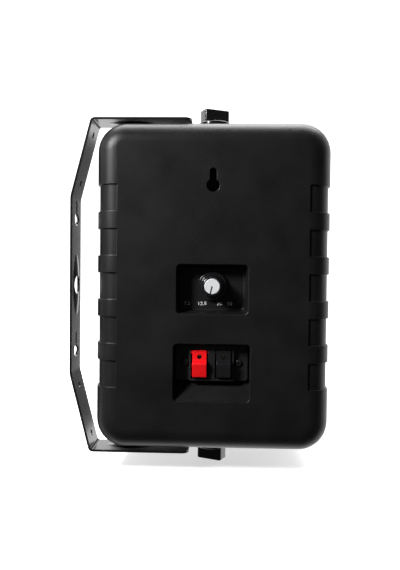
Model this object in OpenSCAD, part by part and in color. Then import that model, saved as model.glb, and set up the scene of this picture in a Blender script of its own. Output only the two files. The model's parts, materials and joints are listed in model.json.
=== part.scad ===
// Wall-mount cabinet loudspeaker with a swivelling U bracket. All sizes are in millimetres.
// +Z is up, the speaker fires towards -Y and the wall is the plane x = 0, on the +X side.
// The origin is the middle of the bracket face that lies on the wall.

/* [Cabinet] */
// Width of the cabinet
cabinet_w = 150; // [144:1:160]
// Height of the cabinet
cabinet_h = 210; // [204:1:230]
// Depth from the front frame to the flat back
cabinet_depth = 125; // [118:1:145]
// Radius of the four corners, seen from the back
corner_r = 19; // [17:0.5:24]
// Radius of the rounding between the sides and the back
rear_round = 14; // [8:0.5:15]
// Wall of the rear shell
shell_wall = 3; // [2.4:0.1:3.6]
// Distance from the swivel axis to the flat back
back_to_pivot = 45; // [42:1:50]

/* [Side flutes] */
// Number of shallow flutes on each side
flute_count = 5; // [3:2:5]
// Height of a flute
flute_h = 16.9; // [12:0.1:20]
// Distance from one flute to the next
flute_pitch = 28; // [24:0.5:30]
// Depth of a flute
flute_depth = 1.2; // [0.6:0.1:1.5]
// How far a flute reaches in from the side, across the rounding
flute_reach = 14.4; // [8:0.1:18]
// Plain band between a flute and the front edge of the shell
flute_end = 8; // [4:1:20]

/* [Front] */
// Depth of the front frame
frame_depth = 18; // [16:0.5:22]
// Width of the rim round the grille
rim_w = 5; // [4:0.5:6]
// Rounding of the front edge of the frame
front_round = 3; // [1:0.5:4]
// Thickness of the speaker panel behind the grille
panel_t = 4; // [3:0.5:5]
// Depth from the front of the rim to the speaker panel
panel_depth = 10; // [9:0.5:11]
// Thickness of the sheet of the grille
grille_t = 1; // [0.8:0.1:1.2]
// How far the grille lies behind the rim
grille_sink = 0.8; // [0.4:0.1:1.2]
// Gap round the grille
grille_gap = 0.4; // [0.2:0.1:0.6]
// Diameter of a hole of the grille
hole_d = 4.4; // [3:0.1:5]
// Distance from one hole of the grille to the next
hole_pitch = 7; // [6.5:0.1:10]
// Plain border round the holes of the grille
hole_border = 6; // [4:0.5:12]

/* [Woofer] */
// Diameter of the woofer's frame
woofer_d = 104; // [98:1:108]
// Height of the woofer's centre above the bottom of the cabinet
woofer_rise = 70; // [68:1:74]
// Diameter of the woofer's magnet
magnet_d = 62; // [50:1:66]
// Thickness of the woofer's magnet
magnet_t = 13; // [9:0.5:16]
// Diameter of the voice coil former
coil_d = 25.6; // [20:0.1:27]
// Depth from the panel to the front plate of the magnet
basket_depth = 27; // [25:0.5:32]

/* [Tweeter] */
// Diameter of the tweeter's face plate
tweeter_d = 56; // [52:1:60]
// Distance from the tweeter's centre to the top of the cabinet
tweeter_drop = 42; // [40:1:44]
// Diameter of the dome
dome_d = 20; // [16:0.5:25]

/* [Selector] */
// Width of the selector recess
selector_w = 45.2; // [40:0.2:50]
// Height of the selector recess
selector_h = 31.3; // [28:0.1:34]
// Depth of the selector recess
selector_depth = 10; // [8:0.5:12]
// Height of the selector recess above the cabinet's middle
selector_z = -1.5; // [-3:0.5:3]
// Height of the knob's axis above the middle of its recess
knob_lift = 2; // [0:0.5:4]
// Diameter of the selector knob
knob_d = 18.5; // [14:0.5:22]
// Height of the selector knob
knob_h = 13; // [10:0.5:15]
// Diameter of the bright cap of the knob
cap_d = 10.7; // [8:0.1:12]
// Angle at which the pointer stands, counted from straight down
pointer_angle = -14; // [-45:1:45]

/* [Terminal] */
// Width of the terminal recess
terminal_w = 48.5; // [46:0.5:54]
// Height of the terminal recess
terminal_h = 36.2; // [34:0.2:42]
// Depth of the terminal recess
terminal_depth = 14; // [12:0.5:16]
// Distance from the cabinet's middle down to the middle of the terminal recess
terminal_drop = 54.3; // [54:0.1:58]
// Height of the terminal block
block_h = 23; // [22:0.5:25]
// Width of a lever
lever_w = 10.4; // [8:0.2:11]
// Distance between the middles of the two levers
lever_pitch = 15.4; // [13:0.2:17]
// Diameter of a wire hole
wire_hole_d = 3; // [2:0.1:4]
// Distance between the two screws of the terminal block
terminal_screw_pitch = 34.4; // [33:0.2:37]

/* [Hanger] */
// Diameter of the head hole of the keyhole in the back
hanger_head_d = 8; // [6:0.5:10]
// Width of the slot of the keyhole
hanger_slot_w = 4; // [3:0.2:5]
// Height of the head hole above the cabinet's middle
hanger_z = 63.8; // [62:0.2:70]
// Rise of the slot above the head hole's centre
hanger_rise = 8.8; // [6:0.2:12]

/* [Bracket] */
// Width of the bracket's strip
strip_w = 24; // [22:0.5:28]
// Thickness of the bracket's sheet
strip_t = 1.5; // [1.2:0.1:2]
// Free space between the cabinet's turning circle and the bracket's wall face
swing_gap = 10.6; // [9:0.1:20]
// Distance from the middle of the strip to the swivel axis
axis_offset = 22; // [22:0.5:26]
// Length of the straight part that lies on the wall
spine_length = 116; // [112:1:140]
// How far the slanted parts lean away from the wall
lean = 13.2; // [10:0.2:14]
// Outer radius of the folds between the slanted parts and the arms
corner_fold_r = 3.4; // [2.5:0.1:5]
// Outer radius of the folds at the ends of the straight part
spine_fold_r = 18; // [6:1:30]
// Distance from the square end of an arm to the swivel axis
arm_setback = 14.6; // [13:0.1:18]
// Rounding of the square end of an arm
arm_end_r = 5; // [2:0.5:8]
// Radius of the eye at the end of an arm
eye_r = 9.5; // [8.5:0.1:9.8]
// Height of the raised ovals
bead_h = 1.2; // [0.8:0.1:1.4]
// Length of the raised oval on the straight part
spine_bead_l = 42; // [36:1:50]
// Width of the raised oval on the straight part
spine_bead_w = 16; // [14:0.5:18]
// Length of the raised oval on an arm
arm_bead_l = 31; // [20:1:32]
// Width of the raised oval on an arm
arm_bead_w = 14; // [10:0.5:16]
// Distance from the wall to the middle of the arm's oval
arm_bead_x = 38; // [34:1:44]
// Diameter of the cable hole
cable_hole_d = 13; // [10:0.5:14]
// Diameter of the head hole of a wall keyhole
wall_head_d = 9.2; // [8.8:0.1:10]
// Width of the slots of a wall keyhole
wall_slot_w = 3.4; // [3:0.1:3.8]
// Rise of the slot above the head hole's centre
wall_slot_rise = 12.4; // [9:0.2:13]
// Reach of the side slot from the head hole's centre
wall_slot_side = 7; // [6:0.2:9]
// Distance between the two wall keyholes
wall_keyhole_pitch = 88; // [80:1:92]
// Diameter of the small holes in the slanted parts
small_hole_d = 4.4; // [3:0.1:5]
// Distance of the inner small holes from the bracket's middle
small_hole_near = 68; // [66:0.5:72]
// Distance of the outer small holes from the bracket's middle
small_hole_far = 100; // [94:0.5:101]

/* [Clamp knobs] */
// Diameter of the stud
stud_d = 6; // [5:0.5:6]
// Length of the stud inside the cabinet
stud_reach = 10; // [8:0.5:12]
// Thickness of the rubber washer between the cabinet and an arm
pad_t = 2.5; // [2:0.1:4]
// Diameter of the rubber washer
pad_d = 18; // [14:0.5:18.5]
// Thickness of the steel washer under a knob
washer_t = 1; // [0.8:0.1:1.5]
// Diameter of the knob's flange
flange_d = 21.7; // [19:0.1:24]
// Height of the knob's flange
flange_h = 3; // [2:0.1:4]
// Length of the knob's grip
grip_l = 17.3; // [14:0.1:18]
// Width of the knob's grip
grip_w = 10; // [8:0.2:12]
// Height of the knob's grip
grip_h = 8.7; // [6:0.1:12]
// Angle at which the grips stand
grip_angle = 25; // [0:1:90]
// Diameter of the threaded insert
insert_d = 9; // [8:0.2:10]
// Length of the threaded insert
insert_l = 13; // [12.5:0.5:16]

/* [Hidden] */
$fn = 48;
hull_fn = 32;
arc_steps = 6;
through = 1;
run_gap = 0.05;
touch = 0.02;
fit_gap = 0.2;

// Places that the driving sizes give
turning_r = norm([cabinet_w / 2 - rear_round, back_to_pivot - rear_round]) + rear_round;
axis_x = -(turning_r + swing_gap);
axis_y = -axis_offset;
back_y = axis_y + back_to_pivot;
front_y = back_y - cabinet_depth;
parting_y = front_y + frame_depth;
panel_y = front_y + panel_depth;
shell_depth = cabinet_depth - frame_depth;
shell_top = cabinet_h / 2;
arm_inside = shell_top + pad_t;
arm_outside = arm_inside + strip_t;
woofer_z = woofer_rise - cabinet_h / 2;
tweeter_z = cabinet_h / 2 - tweeter_drop;
terminal_z = -terminal_drop;

function unit(v) = v / norm(v);

function arc(centre, r, from, to, steps) =
    [for (i = [0:steps]) let (a = from + (to - from) * i / steps) centre + r * [cos(a), sin(a)]];

function short_turn(from, to) = ((to - from + 540) % 360) - 180;

// The arc that rounds one corner of an outline
function rounded_corner(before, corner, after, r, steps) =
    r == 0 ? [corner] :
    let (
        u = unit(before - corner),
        v = unit(after - corner),
        half = acos(u * v) / 2,
        centre = corner + unit(u + v) * r / sin(half),
        first = corner + u * r / tan(half) - centre,
        last = corner + v * r / tan(half) - centre,
        from = atan2(first[1], first[0]),
        to = atan2(last[1], last[0])
    )
    arc(centre, r, from, from + short_turn(from, to), steps);

function rounded_outline(points, radii, steps = arc_steps) =
    let (count = len(points))
    [for (i = [0:count - 1])
        let (before = points[(i + count - 1) % count], after = points[(i + 1) % count])
        each rounded_corner(before, points[i], after, radii[i], steps)];

module rounded_rect(w, h, r) {
    x = w / 2;
    y = h / 2;
    polygon(rounded_outline([[x, y], [-x, y], [-x, -y], [x, -y]], [r, r, r, r]));
}

// Puts a piece on the cabinet: its X stays X, its Y is up and its Z points to the speaker's front
module facing_front(y, x = 0, z = 0) {
    translate([axis_x + x, y, z]) rotate([90, 0, 0]) children();
}

// The same, with the Z axis of the piece pointing to the back
module facing_back(y, x = 0, z = 0) {
    translate([axis_x + x, y, z]) rotate([90, 0, 180]) children();
}

// Cabinet
module rounded_post(r, round, length) {
    rounding = arc([r - round, round], round, -90, 0, arc_steps);
    outline = concat([[0, 0]], rounding, [[r, length], [0, length]]);
    rotate_extrude() polygon(outline);
}

module rounded_block(w, h, r, round, length) {
    hull()
        for (x = [r - w / 2, w / 2 - r], y = [r - h / 2, h / 2 - r])
            translate([x, y, 0]) rounded_post(r, round, length, $fn = hull_fn * 2);
}

// The shell's outer form, or its surface moved inwards by inset
module shell_form(inset, extra = 0) {
    translate([0, 0, inset])
        rounded_block(cabinet_w - 2 * inset, cabinet_h - 2 * inset, corner_r - inset, rear_round - inset,
            shell_depth - inset + extra);
}

pocket_wall = 2;
pocket_draft = 2;
pocket_corner = 2.5;

module selector_pocket(grow) {
    w = selector_w + 2 * grow;
    h = selector_h + 2 * grow;
    hull() {
        translate([0, 0, -through]) linear_extrude(through)
            rounded_rect(w, h, pocket_corner);
        translate([0, 0, selector_depth + grow - through]) linear_extrude(through)
            rounded_rect(w - 2 * pocket_draft, h - 2 * pocket_draft, pocket_corner);
    }
}

lip_depth = 1.5;
ramp_start = 12;

// The terminal recess has a deep upper part for the block and a floor that ramps out to its lower lip
module terminal_pocket(grow) {
    w = terminal_w + 2 * grow;
    top = terminal_h / 2 + grow;
    deep = terminal_depth + grow;
    side = [[top, -through], [top, deep], [ramp_start - terminal_h / 2 - grow, deep],
        [-top, lip_depth + grow], [-top, -through]];
    intersection() {
        translate([0, 0, -through]) linear_extrude(deep + 2 * through)
            rounded_rect(w, 2 * top, pocket_corner);
        rotate([0, -90, 180]) translate([0, 0, -w / 2]) linear_extrude(w)
            polygon([for (p = side) [p[1], -p[0]]]);
    }
}

hanger_box_wall = 1.6;
hanger_box_depth = 7;
hanger_box_gap = 2;
join = 0.5;

module hanger_keyhole() {
    depth = shell_wall + 2 * through;
    translate([0, hanger_z, -through]) cylinder(d = hanger_head_d, h = depth);
    translate([-hanger_slot_w / 2, hanger_z, -through]) cube([hanger_slot_w, hanger_rise, depth]);
    translate([0, hanger_z + hanger_rise, -through]) cylinder(d = hanger_slot_w, h = depth);
}

module hanger_box(grow) {
    room = hanger_box_gap + grow;
    w = hanger_head_d + 2 * room;
    low = hanger_z - hanger_head_d / 2 - room;
    high = hanger_z + hanger_rise + hanger_slot_w / 2 + room;
    translate([-w / 2, low, shell_wall - join]) cube([w, high - low, hanger_box_depth + grow]);
}

boss_r = 4.2;
boss_length = 30;
boss_hole_d = 2.8;
boss_hole_depth = 14;
frame_screw_d = 3.5;
rib_t = 2.4;
head_room = 0.6;
screw_in = rim_w + grille_gap + grille_t + frame_screw_d + head_room;
corner_screw_in = corner_r - (corner_r - screw_in) * cos(45);

// Centres of the six screws that hold the front frame, each with the direction to the nearest wall
frame_screw_places = concat(
    [for (x = [-1, 1], y = [-1, 1])
        [x * (cabinet_w / 2 - corner_screw_in), y * (cabinet_h / 2 - corner_screw_in), atan2(y, x)]],
    [for (x = [-1, 1]) [x * (cabinet_w / 2 - screw_in), flute_pitch / 2, atan2(0, x)]]
);

insert_boss_r = 8;
insert_floor = 3;

module upright_at_axis(z) {
    translate([axis_x, axis_y, z]) children();
}

stand_off_r = 4;
small_screw_d = 3;

switch_bore_d = 10;
tab_slot_w = 3;
tab_slot_h = 6;
terminal_screw_d = 2.6;
block_top = terminal_h / 2 - 1.2;
block_mid = block_top - block_h / 2;
knob_z = selector_z + knob_lift;

transformer_x = 41 - cabinet_w / 2;
transformer_z = cabinet_h / 2 - 69;
core_unit = 5;
core_stack = 14;
strap_t = 1;
strap_w = core_stack - 2;
strap_foot = 9;
strap_pitch = 6 * core_unit + 2 * strap_t + strap_foot;
stand_off_h = 4;

board_z = 49 - cabinet_h / 2;
board_w = 34;
board_clear = 2.75;
board_x = -(terminal_w / 2 + pocket_wall + board_clear + board_w / 2);
board_h = 54;
board_t = 1.6;
board_screw_pitch = 44;

module rear_shell() {
    color("#1d1e20") {
        difference() {
            union() {
                facing_front(back_y) {
                    difference() {
                        shell_form(0);
                        shell_form(shell_wall, through);
                    }
                    intersection() {
                        union() {
                            translate([0, selector_z, 0]) selector_pocket(pocket_wall);
                            translate([0, terminal_z, 0]) terminal_pocket(pocket_wall);
                            hanger_box(hanger_box_wall);
                        }
                        translate([-cabinet_w / 2, -cabinet_h / 2, shell_wall / 2])
                            cube([cabinet_w, cabinet_h, shell_depth]);
                    }
                    for (p = frame_screw_places)
                        translate([p[0], p[1], shell_depth - boss_length]) {
                            cylinder(r = boss_r, h = boss_length);
                            rotate(p[2]) translate([0, -rib_t / 2, 0])
                                cube([screw_in - shell_wall / 2, rib_t, boss_length - tongue_h - join]);
                        }
                    for (s = [-1, 1])
                        translate([transformer_x + s * strap_pitch / 2, transformer_z, shell_wall / 2])
                            cylinder(r = stand_off_r, h = shell_wall / 2 + stand_off_h);
                    for (s = [-1, 1])
                        translate([board_x, board_z + s * board_screw_pitch / 2, shell_wall / 2])
                            cylinder(r = stand_off_r, h = shell_wall / 2 + stand_off_h);
                }
                upright_at_axis(shell_top - insert_l - insert_floor)
                    cylinder(r = insert_boss_r, h = insert_l + insert_floor - shell_wall / 2);
                upright_at_axis(-shell_top + shell_wall / 2)
                    cylinder(r = insert_boss_r, h = insert_l + insert_floor - shell_wall / 2);
            }
            upright_at_axis(shell_top - insert_l) cylinder(d = insert_d, h = insert_l + through);
            upright_at_axis(-shell_top - through) cylinder(d = insert_d, h = insert_l + through);
            facing_front(back_y) {
                side_flutes();
                translate([0, selector_z, 0]) selector_pocket(0);
                translate([0, terminal_z, 0]) terminal_pocket(0);
                hanger_keyhole();
                hanger_box(0);
                translate([0, knob_z, 0]) cylinder(d = switch_bore_d, h = selector_depth + 2 * pocket_wall);
                for (s = [-1, 1]) {
                    translate([s * lever_pitch / 2, terminal_z + block_mid, terminal_depth])
                        cube([tab_slot_w, tab_slot_h, 4 * pocket_wall], center = true);
                    translate([s * terminal_screw_pitch / 2, terminal_z + block_mid, 0])
                        cylinder(d = terminal_screw_d, h = terminal_depth + 2 * pocket_wall);
                    translate([transformer_x + s * strap_pitch / 2, transformer_z, shell_wall])
                        cylinder(d = small_screw_d, h = stand_off_h + through);
                    translate([board_x, board_z + s * board_screw_pitch / 2, shell_wall])
                        cylinder(d = small_screw_d, h = stand_off_h + through);
                }
                for (p = frame_screw_places)
                    translate([p[0], p[1], shell_depth - boss_hole_depth])
                        cylinder(d = boss_hole_d, h = boss_hole_depth + through);
            }
        }
    }
}

module side_flutes() {
    length = shell_depth - flute_end + through;
    difference() {
        for (s = [-1, 1], i = [0:flute_count - 1])
            translate([s * (cabinet_w / 2 - (flute_reach - through) / 2),
                (i - (flute_count - 1) / 2) * flute_pitch, length / 2 - through])
                cube([flute_reach + through, flute_h, length], center = true);
        shell_form(flute_depth, through);
    }
}

// Front frame
tongue_t = 1.6;
tongue_h = 4;
gasket_w = 1.2;
gasket_t = 1.2;
gasket_in = 0.9;

module ring_outline(in, w) {
    difference() {
        rounded_rect(cabinet_w - 2 * in, cabinet_h - 2 * in, corner_r - in);
        rounded_rect(cabinet_w - 2 * (in + w), cabinet_h - 2 * (in + w), corner_r - in - w);
    }
}

woofer_flange_t = 1.6;
woofer_screw_d = 3.5;
woofer_screw_r = woofer_d / 2 - 4;
woofer_opening_r = woofer_d / 2 - 8.5;
tweeter_screw_r = tweeter_d / 2 - 3.6;
tweeter_opening_r = tweeter_d / 2 - 8;
tweeter_plate_t = 2.4;
driver_screw_l = 12;
small_head_h = 1.4;
screw_hole_share = 0.8;

module front_frame() {
    color("#202123") {
        facing_front(parting_y) {
            difference() {
                union() {
                    translate([0, 0, frame_depth]) mirror([0, 0, 1])
                        rounded_block(cabinet_w, cabinet_h, corner_r, front_round, frame_depth);
                    translate([0, 0, -tongue_h]) linear_extrude(tongue_h + through)
                        ring_outline(shell_wall + fit_gap, tongue_t);
                }
                translate([0, 0, frame_depth - panel_depth]) linear_extrude(panel_depth + through)
                    rounded_rect(cabinet_w - 2 * rim_w, cabinet_h - 2 * rim_w, corner_r - rim_w);
                translate([0, 0, -through]) linear_extrude(frame_depth - panel_depth - panel_t + through)
                    difference() {
                        back_in = shell_wall + fit_gap + tongue_t;
                        rounded_rect(cabinet_w - 2 * back_in, cabinet_h - 2 * back_in, corner_r - back_in);
                        for (p = frame_screw_places) translate([p[0], p[1]]) circle(r = boss_r);
                    }
                translate([0, 0, -through]) linear_extrude(gasket_t + through)
                    ring_outline(gasket_in, gasket_w);
                for (p = frame_screw_places) translate([p[0], p[1], -through]) {
                    cylinder(d = frame_screw_d + 2 * fit_gap, h = frame_depth);
                    translate([0, 0, frame_depth - panel_depth + through - head_sink])
                        cylinder(d = frame_screw_d * 2 + 4 * fit_gap, h = panel_depth);
                }
                translate([0, woofer_z, 0]) {
                    cylinder(r = woofer_opening_r, h = frame_depth, $fn = 96);
                    for (a = [45:90:315]) rotate(a) translate([woofer_screw_r, 0, 0])
                        cylinder(d = woofer_screw_d * screw_hole_share, h = frame_depth);
                }
                translate([0, tweeter_z, 0]) {
                    cylinder(r = tweeter_opening_r, h = frame_depth, $fn = 96);
                    for (a = [90:120:330]) rotate(a) translate([tweeter_screw_r, 0, 0])
                        cylinder(d = woofer_screw_d * screw_hole_share, h = frame_depth);
                }
            }
        }
    }
}

module frame_gasket() {
    color("#2b2b2b")
        facing_front(parting_y) linear_extrude(gasket_t) ring_outline(gasket_in, gasket_w);
}

// A cross-recessed screw whose head's underside is at z = 0 and whose shank runs to -Z
module screw(d, l, head_h) {
    difference() {
        rotate_extrude()
            polygon(concat([[0, -l], [d * 0.3, -l], [d / 2, -l + d * 0.5], [d / 2, 0], [d, 0]],
                arc([d - head_h, 0], head_h, 0, 90, arc_steps), [[0, head_h]]));
        for (a = [0, 90]) rotate(a) translate([-d * 0.55, -d * 0.1, head_h * 0.4])
            cube([d * 1.1, d * 0.2, head_h]);
    }
}

head_sink = 2;
frame_screw_head = 1.8;
screw_tip_room = 4;
head_seat = frame_depth - panel_depth - head_sink;
frame_screw_l = head_seat + boss_hole_depth - screw_tip_room;

module frame_screws() {
    color("#8d8f93")
        facing_front(parting_y)
            for (p = frame_screw_places)
                translate([p[0], p[1], head_seat])
                    screw_clear(frame_screw_d, frame_screw_l, frame_screw_head, head_seat);
}

// A screw whose thread is thinner than its shank below a given depth, so that it fills its pilot hole
module screw_clear(d, l, head_h, shank) {
    difference() {
        screw(d, l, head_h);
        translate([0, 0, -l - through]) linear_extrude(l + through - shank) difference() {
            circle(r = d);
            circle(d = boss_hole_d);
        }
    }
}

// Grille
grille_lip_gap = 0.05;

module grille() {
    w = cabinet_w - 2 * (rim_w + grille_gap);
    h = cabinet_h - 2 * (rim_w + grille_gap);
    r = corner_r - rim_w - grille_gap;
    row_pitch = hole_pitch * sin(60);
    columns = floor((w - 2 * hole_border - hole_d) / hole_pitch);
    rows = floor((h - 2 * hole_border - hole_d) / row_pitch);
    corner_x = w / 2 - r;
    corner_y = h / 2 - r;
    reach = r - hole_border;
    color("#2a2b2d")
        facing_front(front_y + grille_sink + grille_t) {
            linear_extrude(grille_t)
                difference() {
                    rounded_rect(w, h, r);
                    for (j = [0:rows], i = [0:columns - j % 2]) {
                        x = (i - (columns - j % 2) / 2) * hole_pitch;
                        y = (j - rows / 2) * row_pitch;
                        past = [max(abs(x) - corner_x, 0), max(abs(y) - corner_y, 0)];
                        if (norm(past) < reach) translate([x, y]) circle(d = hole_d, $fn = 24);
                    }
                }
            translate([0, 0, grille_sink + grille_t - panel_depth + grille_lip_gap])
                linear_extrude(panel_depth - grille_sink - grille_t)
                    difference() {
                        rounded_rect(w, h, r);
                        rounded_rect(w - 2 * grille_t, h - 2 * grille_t, r - grille_t);
                    }
        }
}

// Woofer: Z = 0 is the face of the panel, +Z is towards the listener
module at_woofer() {
    facing_front(panel_y, 0, woofer_z) children();
}

plate_t = 4;
basket_t = 1.2;
gasket_ring_t = 1.4;
surround_out_r = woofer_opening_r - 1;
surround_w = 8;
surround_in_r = surround_out_r - surround_w;
surround_h = 3.4;
film_t = 0.5;
cone_t = 0.8;
neck_z = -16;
spider_z = -19;
spider_ledge_r = 31;
spider_flat_r = spider_ledge_r + 2.4;
spider_clear = 3.5;
window_w = 18;
window_h = 11.5;
basket_base_r = 30;
former_t = 0.3;
neck_r = coil_d / 2 + former_t + touch;
pole_vent_r = 3;
pole_r = coil_d / 2 - 1.3;
coil_t = 0.5;
coil_h = 9;
gap_r = coil_d / 2 + coil_t + 0.5;
plate_front = -basket_depth;
plate_back = plate_front - plate_t;
magnet_back = plate_back - magnet_t;

// The pressed basket: flange, sloping wall, spider ledge and base, as one turned profile with windows
module woofer_basket() {
    wall_r = woofer_opening_r - basket_t;
    lip_r = wall_r - 2 * basket_t - fit_gap;
    ledge_in = spider_ledge_r - 2;
    outline = [
        [woofer_d / 2, 0], [woofer_d / 2, woofer_flange_t], [lip_r, woofer_flange_t],
        [lip_r, woofer_flange_t - basket_t], [wall_r - basket_t, -basket_t / 2],
        [spider_flat_r, spider_z], [ledge_in, spider_z],
        [ledge_in, spider_z - basket_t], [basket_base_r - 1, plate_front + basket_t],
        [gap_r + 1, plate_front + basket_t], [gap_r + 1, plate_front],
        [basket_base_r, plate_front], [spider_ledge_r, spider_z - basket_t],
        [spider_ledge_r + 4, spider_z], [wall_r, -basket_t], [wall_r, 0]
    ];
    color("#3a3c40")
        at_woofer() difference() {
            rotate_extrude($fn = 96) polygon(outline);
            for (a = [0:60:300])
                rotate(a) translate([spider_ledge_r + 5, -window_w / 2, spider_z + spider_clear])
                    cube([basket_depth, window_w, window_h]);
            for (a = [45:90:315]) rotate(a) translate([woofer_screw_r, 0, -through])
                cylinder(d = woofer_screw_d + 2 * fit_gap, h = woofer_flange_t + 2 * through);
        }
}

module woofer_gasket() {
    color("#1a1a1a")
        at_woofer() translate([0, 0, woofer_flange_t]) linear_extrude(gasket_ring_t) difference() {
            circle(d = woofer_d - 1, $fn = 96);
            circle(r = surround_out_r + 2 * fit_gap, $fn = 96);
            for (a = [45:90:315]) rotate(a) translate([woofer_screw_r, 0])
                circle(d = woofer_screw_d * 2 + 1);
        }
}

module woofer_screws() {
    color("#26272a")
        at_woofer() for (a = [45:90:315]) rotate(a) translate([woofer_screw_r, 0, woofer_flange_t])
            driver_screw(woofer_flange_t);
}

// A driver screw: full shank through the flange, then the thinner part in its pilot hole
module driver_screw(shank) {
    difference() {
        screw(woofer_screw_d, driver_screw_l, small_head_h);
        translate([0, 0, -driver_screw_l - through])
            linear_extrude(driver_screw_l + through - shank) difference() {
                circle(r = woofer_screw_d);
                circle(d = woofer_screw_d * screw_hole_share);
            }
    }
}

module woofer_front_plate() {
    color("#b9bcc2")
        at_woofer() translate([0, 0, plate_back]) difference() {
            cylinder(d = magnet_d - 5, h = plate_t, $fn = 96);
            translate([0, 0, -through]) cylinder(r = gap_r, h = plate_t + 2 * through, $fn = 96);
        }
}

module woofer_magnet() {
    color("#4b4c50")
        at_woofer() translate([0, 0, magnet_back]) difference() {
            cylinder(d = magnet_d, h = magnet_t, $fn = 96);
            translate([0, 0, -through]) cylinder(r = gap_r + 3, h = magnet_t + 2 * through, $fn = 96);
        }
}

yoke_r = magnet_d / 2 - 2.5;
yoke_chamfer = 1.5;

// Back plate and pole, turned from one piece, with the vent through the pole
module woofer_yoke() {
    color("#aeb1b7")
        at_woofer() rotate_extrude($fn = 96)
            polygon([[pole_vent_r, magnet_back - plate_t], [yoke_r - yoke_chamfer, magnet_back - plate_t],
                [yoke_r, magnet_back - plate_t + yoke_chamfer], [yoke_r, magnet_back],
                [pole_r, magnet_back], [pole_r, plate_front + join], [pole_vent_r, plate_front + join]]);
}

// A thin turned sheet between an outline and the same outline moved along the axis
module film(points, t) {
    rotate_extrude($fn = 96)
        polygon(concat(points, [for (i = [len(points) - 1:-1:0]) points[i] + [0, t]]));
}

spider_waves = 4;
spider_wave_h = 0.9;
spider_rim_w = 3.8;

module woofer_spider() {
    last = spider_flat_r - spider_rim_w - 1;
    steps = spider_waves * 6;
    waves = [for (i = [0:steps]) let (s = i / steps)
        [neck_r + (last - neck_r) * s, spider_wave_h * sin(360 * spider_waves * s)]];
    color("#b8863b")
        at_woofer() translate([0, 0, spider_z + touch])
            film(concat(waves, [[last + spider_rim_w, 0]]), film_t);
}

module woofer_surround() {
    mid = (surround_in_r + surround_out_r) / 2;
    half = surround_w / 2 - 1;
    roll = [for (a = [0:15:180]) [mid - half * cos(a), surround_h * sin(a)]];
    color("#202020")
        at_woofer() translate([0, 0, woofer_flange_t])
            film(concat([[surround_in_r, 0]], roll, [[surround_out_r + fit_gap, 0]]), film_t);
}

cone_rim_w = 1.2;
cone_steps = 6;
cone_bow = 1.25;
cone_out_r = surround_in_r - 0.6;

module woofer_cone() {
    top = woofer_flange_t - run_gap;
    rim_r = surround_in_r + cone_rim_w;
    back = [for (i = [1:cone_steps]) cone_point(i / cone_steps) - [0, cone_t]];
    front = [for (i = [cone_steps:-1:1]) cone_point(i / cone_steps)];
    color("#27282b")
        at_woofer() rotate_extrude($fn = 96)
            polygon(concat([[rim_r, top], [rim_r, top - cone_t], [cone_out_r + fit_gap, top - cone_t]],
                back, front, [[cone_out_r - fit_gap, top]]));
}

// The cone's slightly curved slope, from the surround at 0 to the neck at 1
function cone_point(s) = [cone_out_r + (neck_r - cone_out_r) * s, cone_height(s)];

function cone_height(s) = woofer_flange_t + (neck_z - woofer_flange_t) * pow(s, cone_bow);

dust_cap_r = coil_d / 2 + 3.5;
dust_cap_bulge = 1.35;
cap_steps = 10;

module woofer_dust_cap() {
    sphere_r = dust_cap_r * dust_cap_bulge;
    start = acos(1 / dust_cap_bulge);
    centre = [0, -sphere_r * sin(start)];
    seat = cone_height((cone_out_r - dust_cap_r) / (cone_out_r - neck_r));
    color("#1c1d1f")
        at_woofer() translate([0, 0, seat + 2 * run_gap])
            rotate_extrude($fn = 96)
                polygon(concat(arc(centre, sphere_r, start, 90, cap_steps),
                    arc(centre, sphere_r - film_t, 90, start, cap_steps)));
}

module woofer_coil_former() {
    low = plate_back - plate_t;
    color("#c9b184")
        at_woofer() translate([0, 0, low]) linear_extrude(neck_z - low + join) difference() {
            circle(r = coil_d / 2 + former_t, $fn = 96);
            circle(d = coil_d, $fn = 96);
        }
}

module woofer_coil() {
    color("#b06a35")
        at_woofer() translate([0, 0, plate_back + plate_t / 2 - coil_h / 2])
            linear_extrude(coil_h) difference() {
                circle(r = coil_d / 2 + coil_t, $fn = 96);
                circle(r = coil_d / 2 + former_t, $fn = 96);
            }
}

// Tweeter: Z = 0 is the face of the panel
module at_tweeter() {
    facing_front(panel_y, 0, tweeter_z) children();
}

throat_depth = 2.5;
dome_bulge = 1.25;
dome_ring_t = 3.5;
dome_back = -throat_depth - dome_ring_t;
flare_w = 9;
plate_chamfer = 0.8;
tweeter_magnet_d = 32;
tweeter_magnet_t = 9;

module tweeter_face_plate() {
    r = tweeter_d / 2;
    neck = tweeter_opening_r - fit_gap;
    throat = dome_d / 2 + 1.5;
    flare_h = tweeter_plate_t + throat_depth;
    flare = [for (a = [15:15:90]) [throat + flare_w * cos(a), tweeter_plate_t - flare_h * sin(a)]];
    color("#1f2022")
        at_tweeter() difference() {
            rotate_extrude($fn = 96)
                polygon(concat(
                    [[throat, dome_back], [neck, dome_back], [neck, 0], [r, 0],
                        [r, tweeter_plate_t - plate_chamfer], [r - plate_chamfer, tweeter_plate_t],
                        [throat + flare_w, tweeter_plate_t]],
                    flare));
            for (a = [90:120:330]) rotate(a) translate([tweeter_screw_r, 0, -through])
                cylinder(d = woofer_screw_d + 2 * fit_gap, h = tweeter_plate_t + 2 * through);
        }
}

module tweeter_dome() {
    r = dome_d / 2;
    roll_w = 0.7;
    roll_h = 0.8;
    rim_r = r + 4;
    sphere_r = r * dome_bulge;
    start = acos(1 / dome_bulge);
    cap = arc([0, film_t - sphere_r * sin(start)], sphere_r, start, 90, cap_steps);
    color("#c9ccd0")
        at_tweeter() translate([0, 0, dome_back - film_t]) rotate_extrude($fn = 96)
            polygon(concat([[0, 0], [rim_r, 0], [rim_r, film_t], [r + 2 * roll_w, film_t],
                [r + roll_w, film_t + roll_h], [r, film_t]], cap));
}

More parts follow.
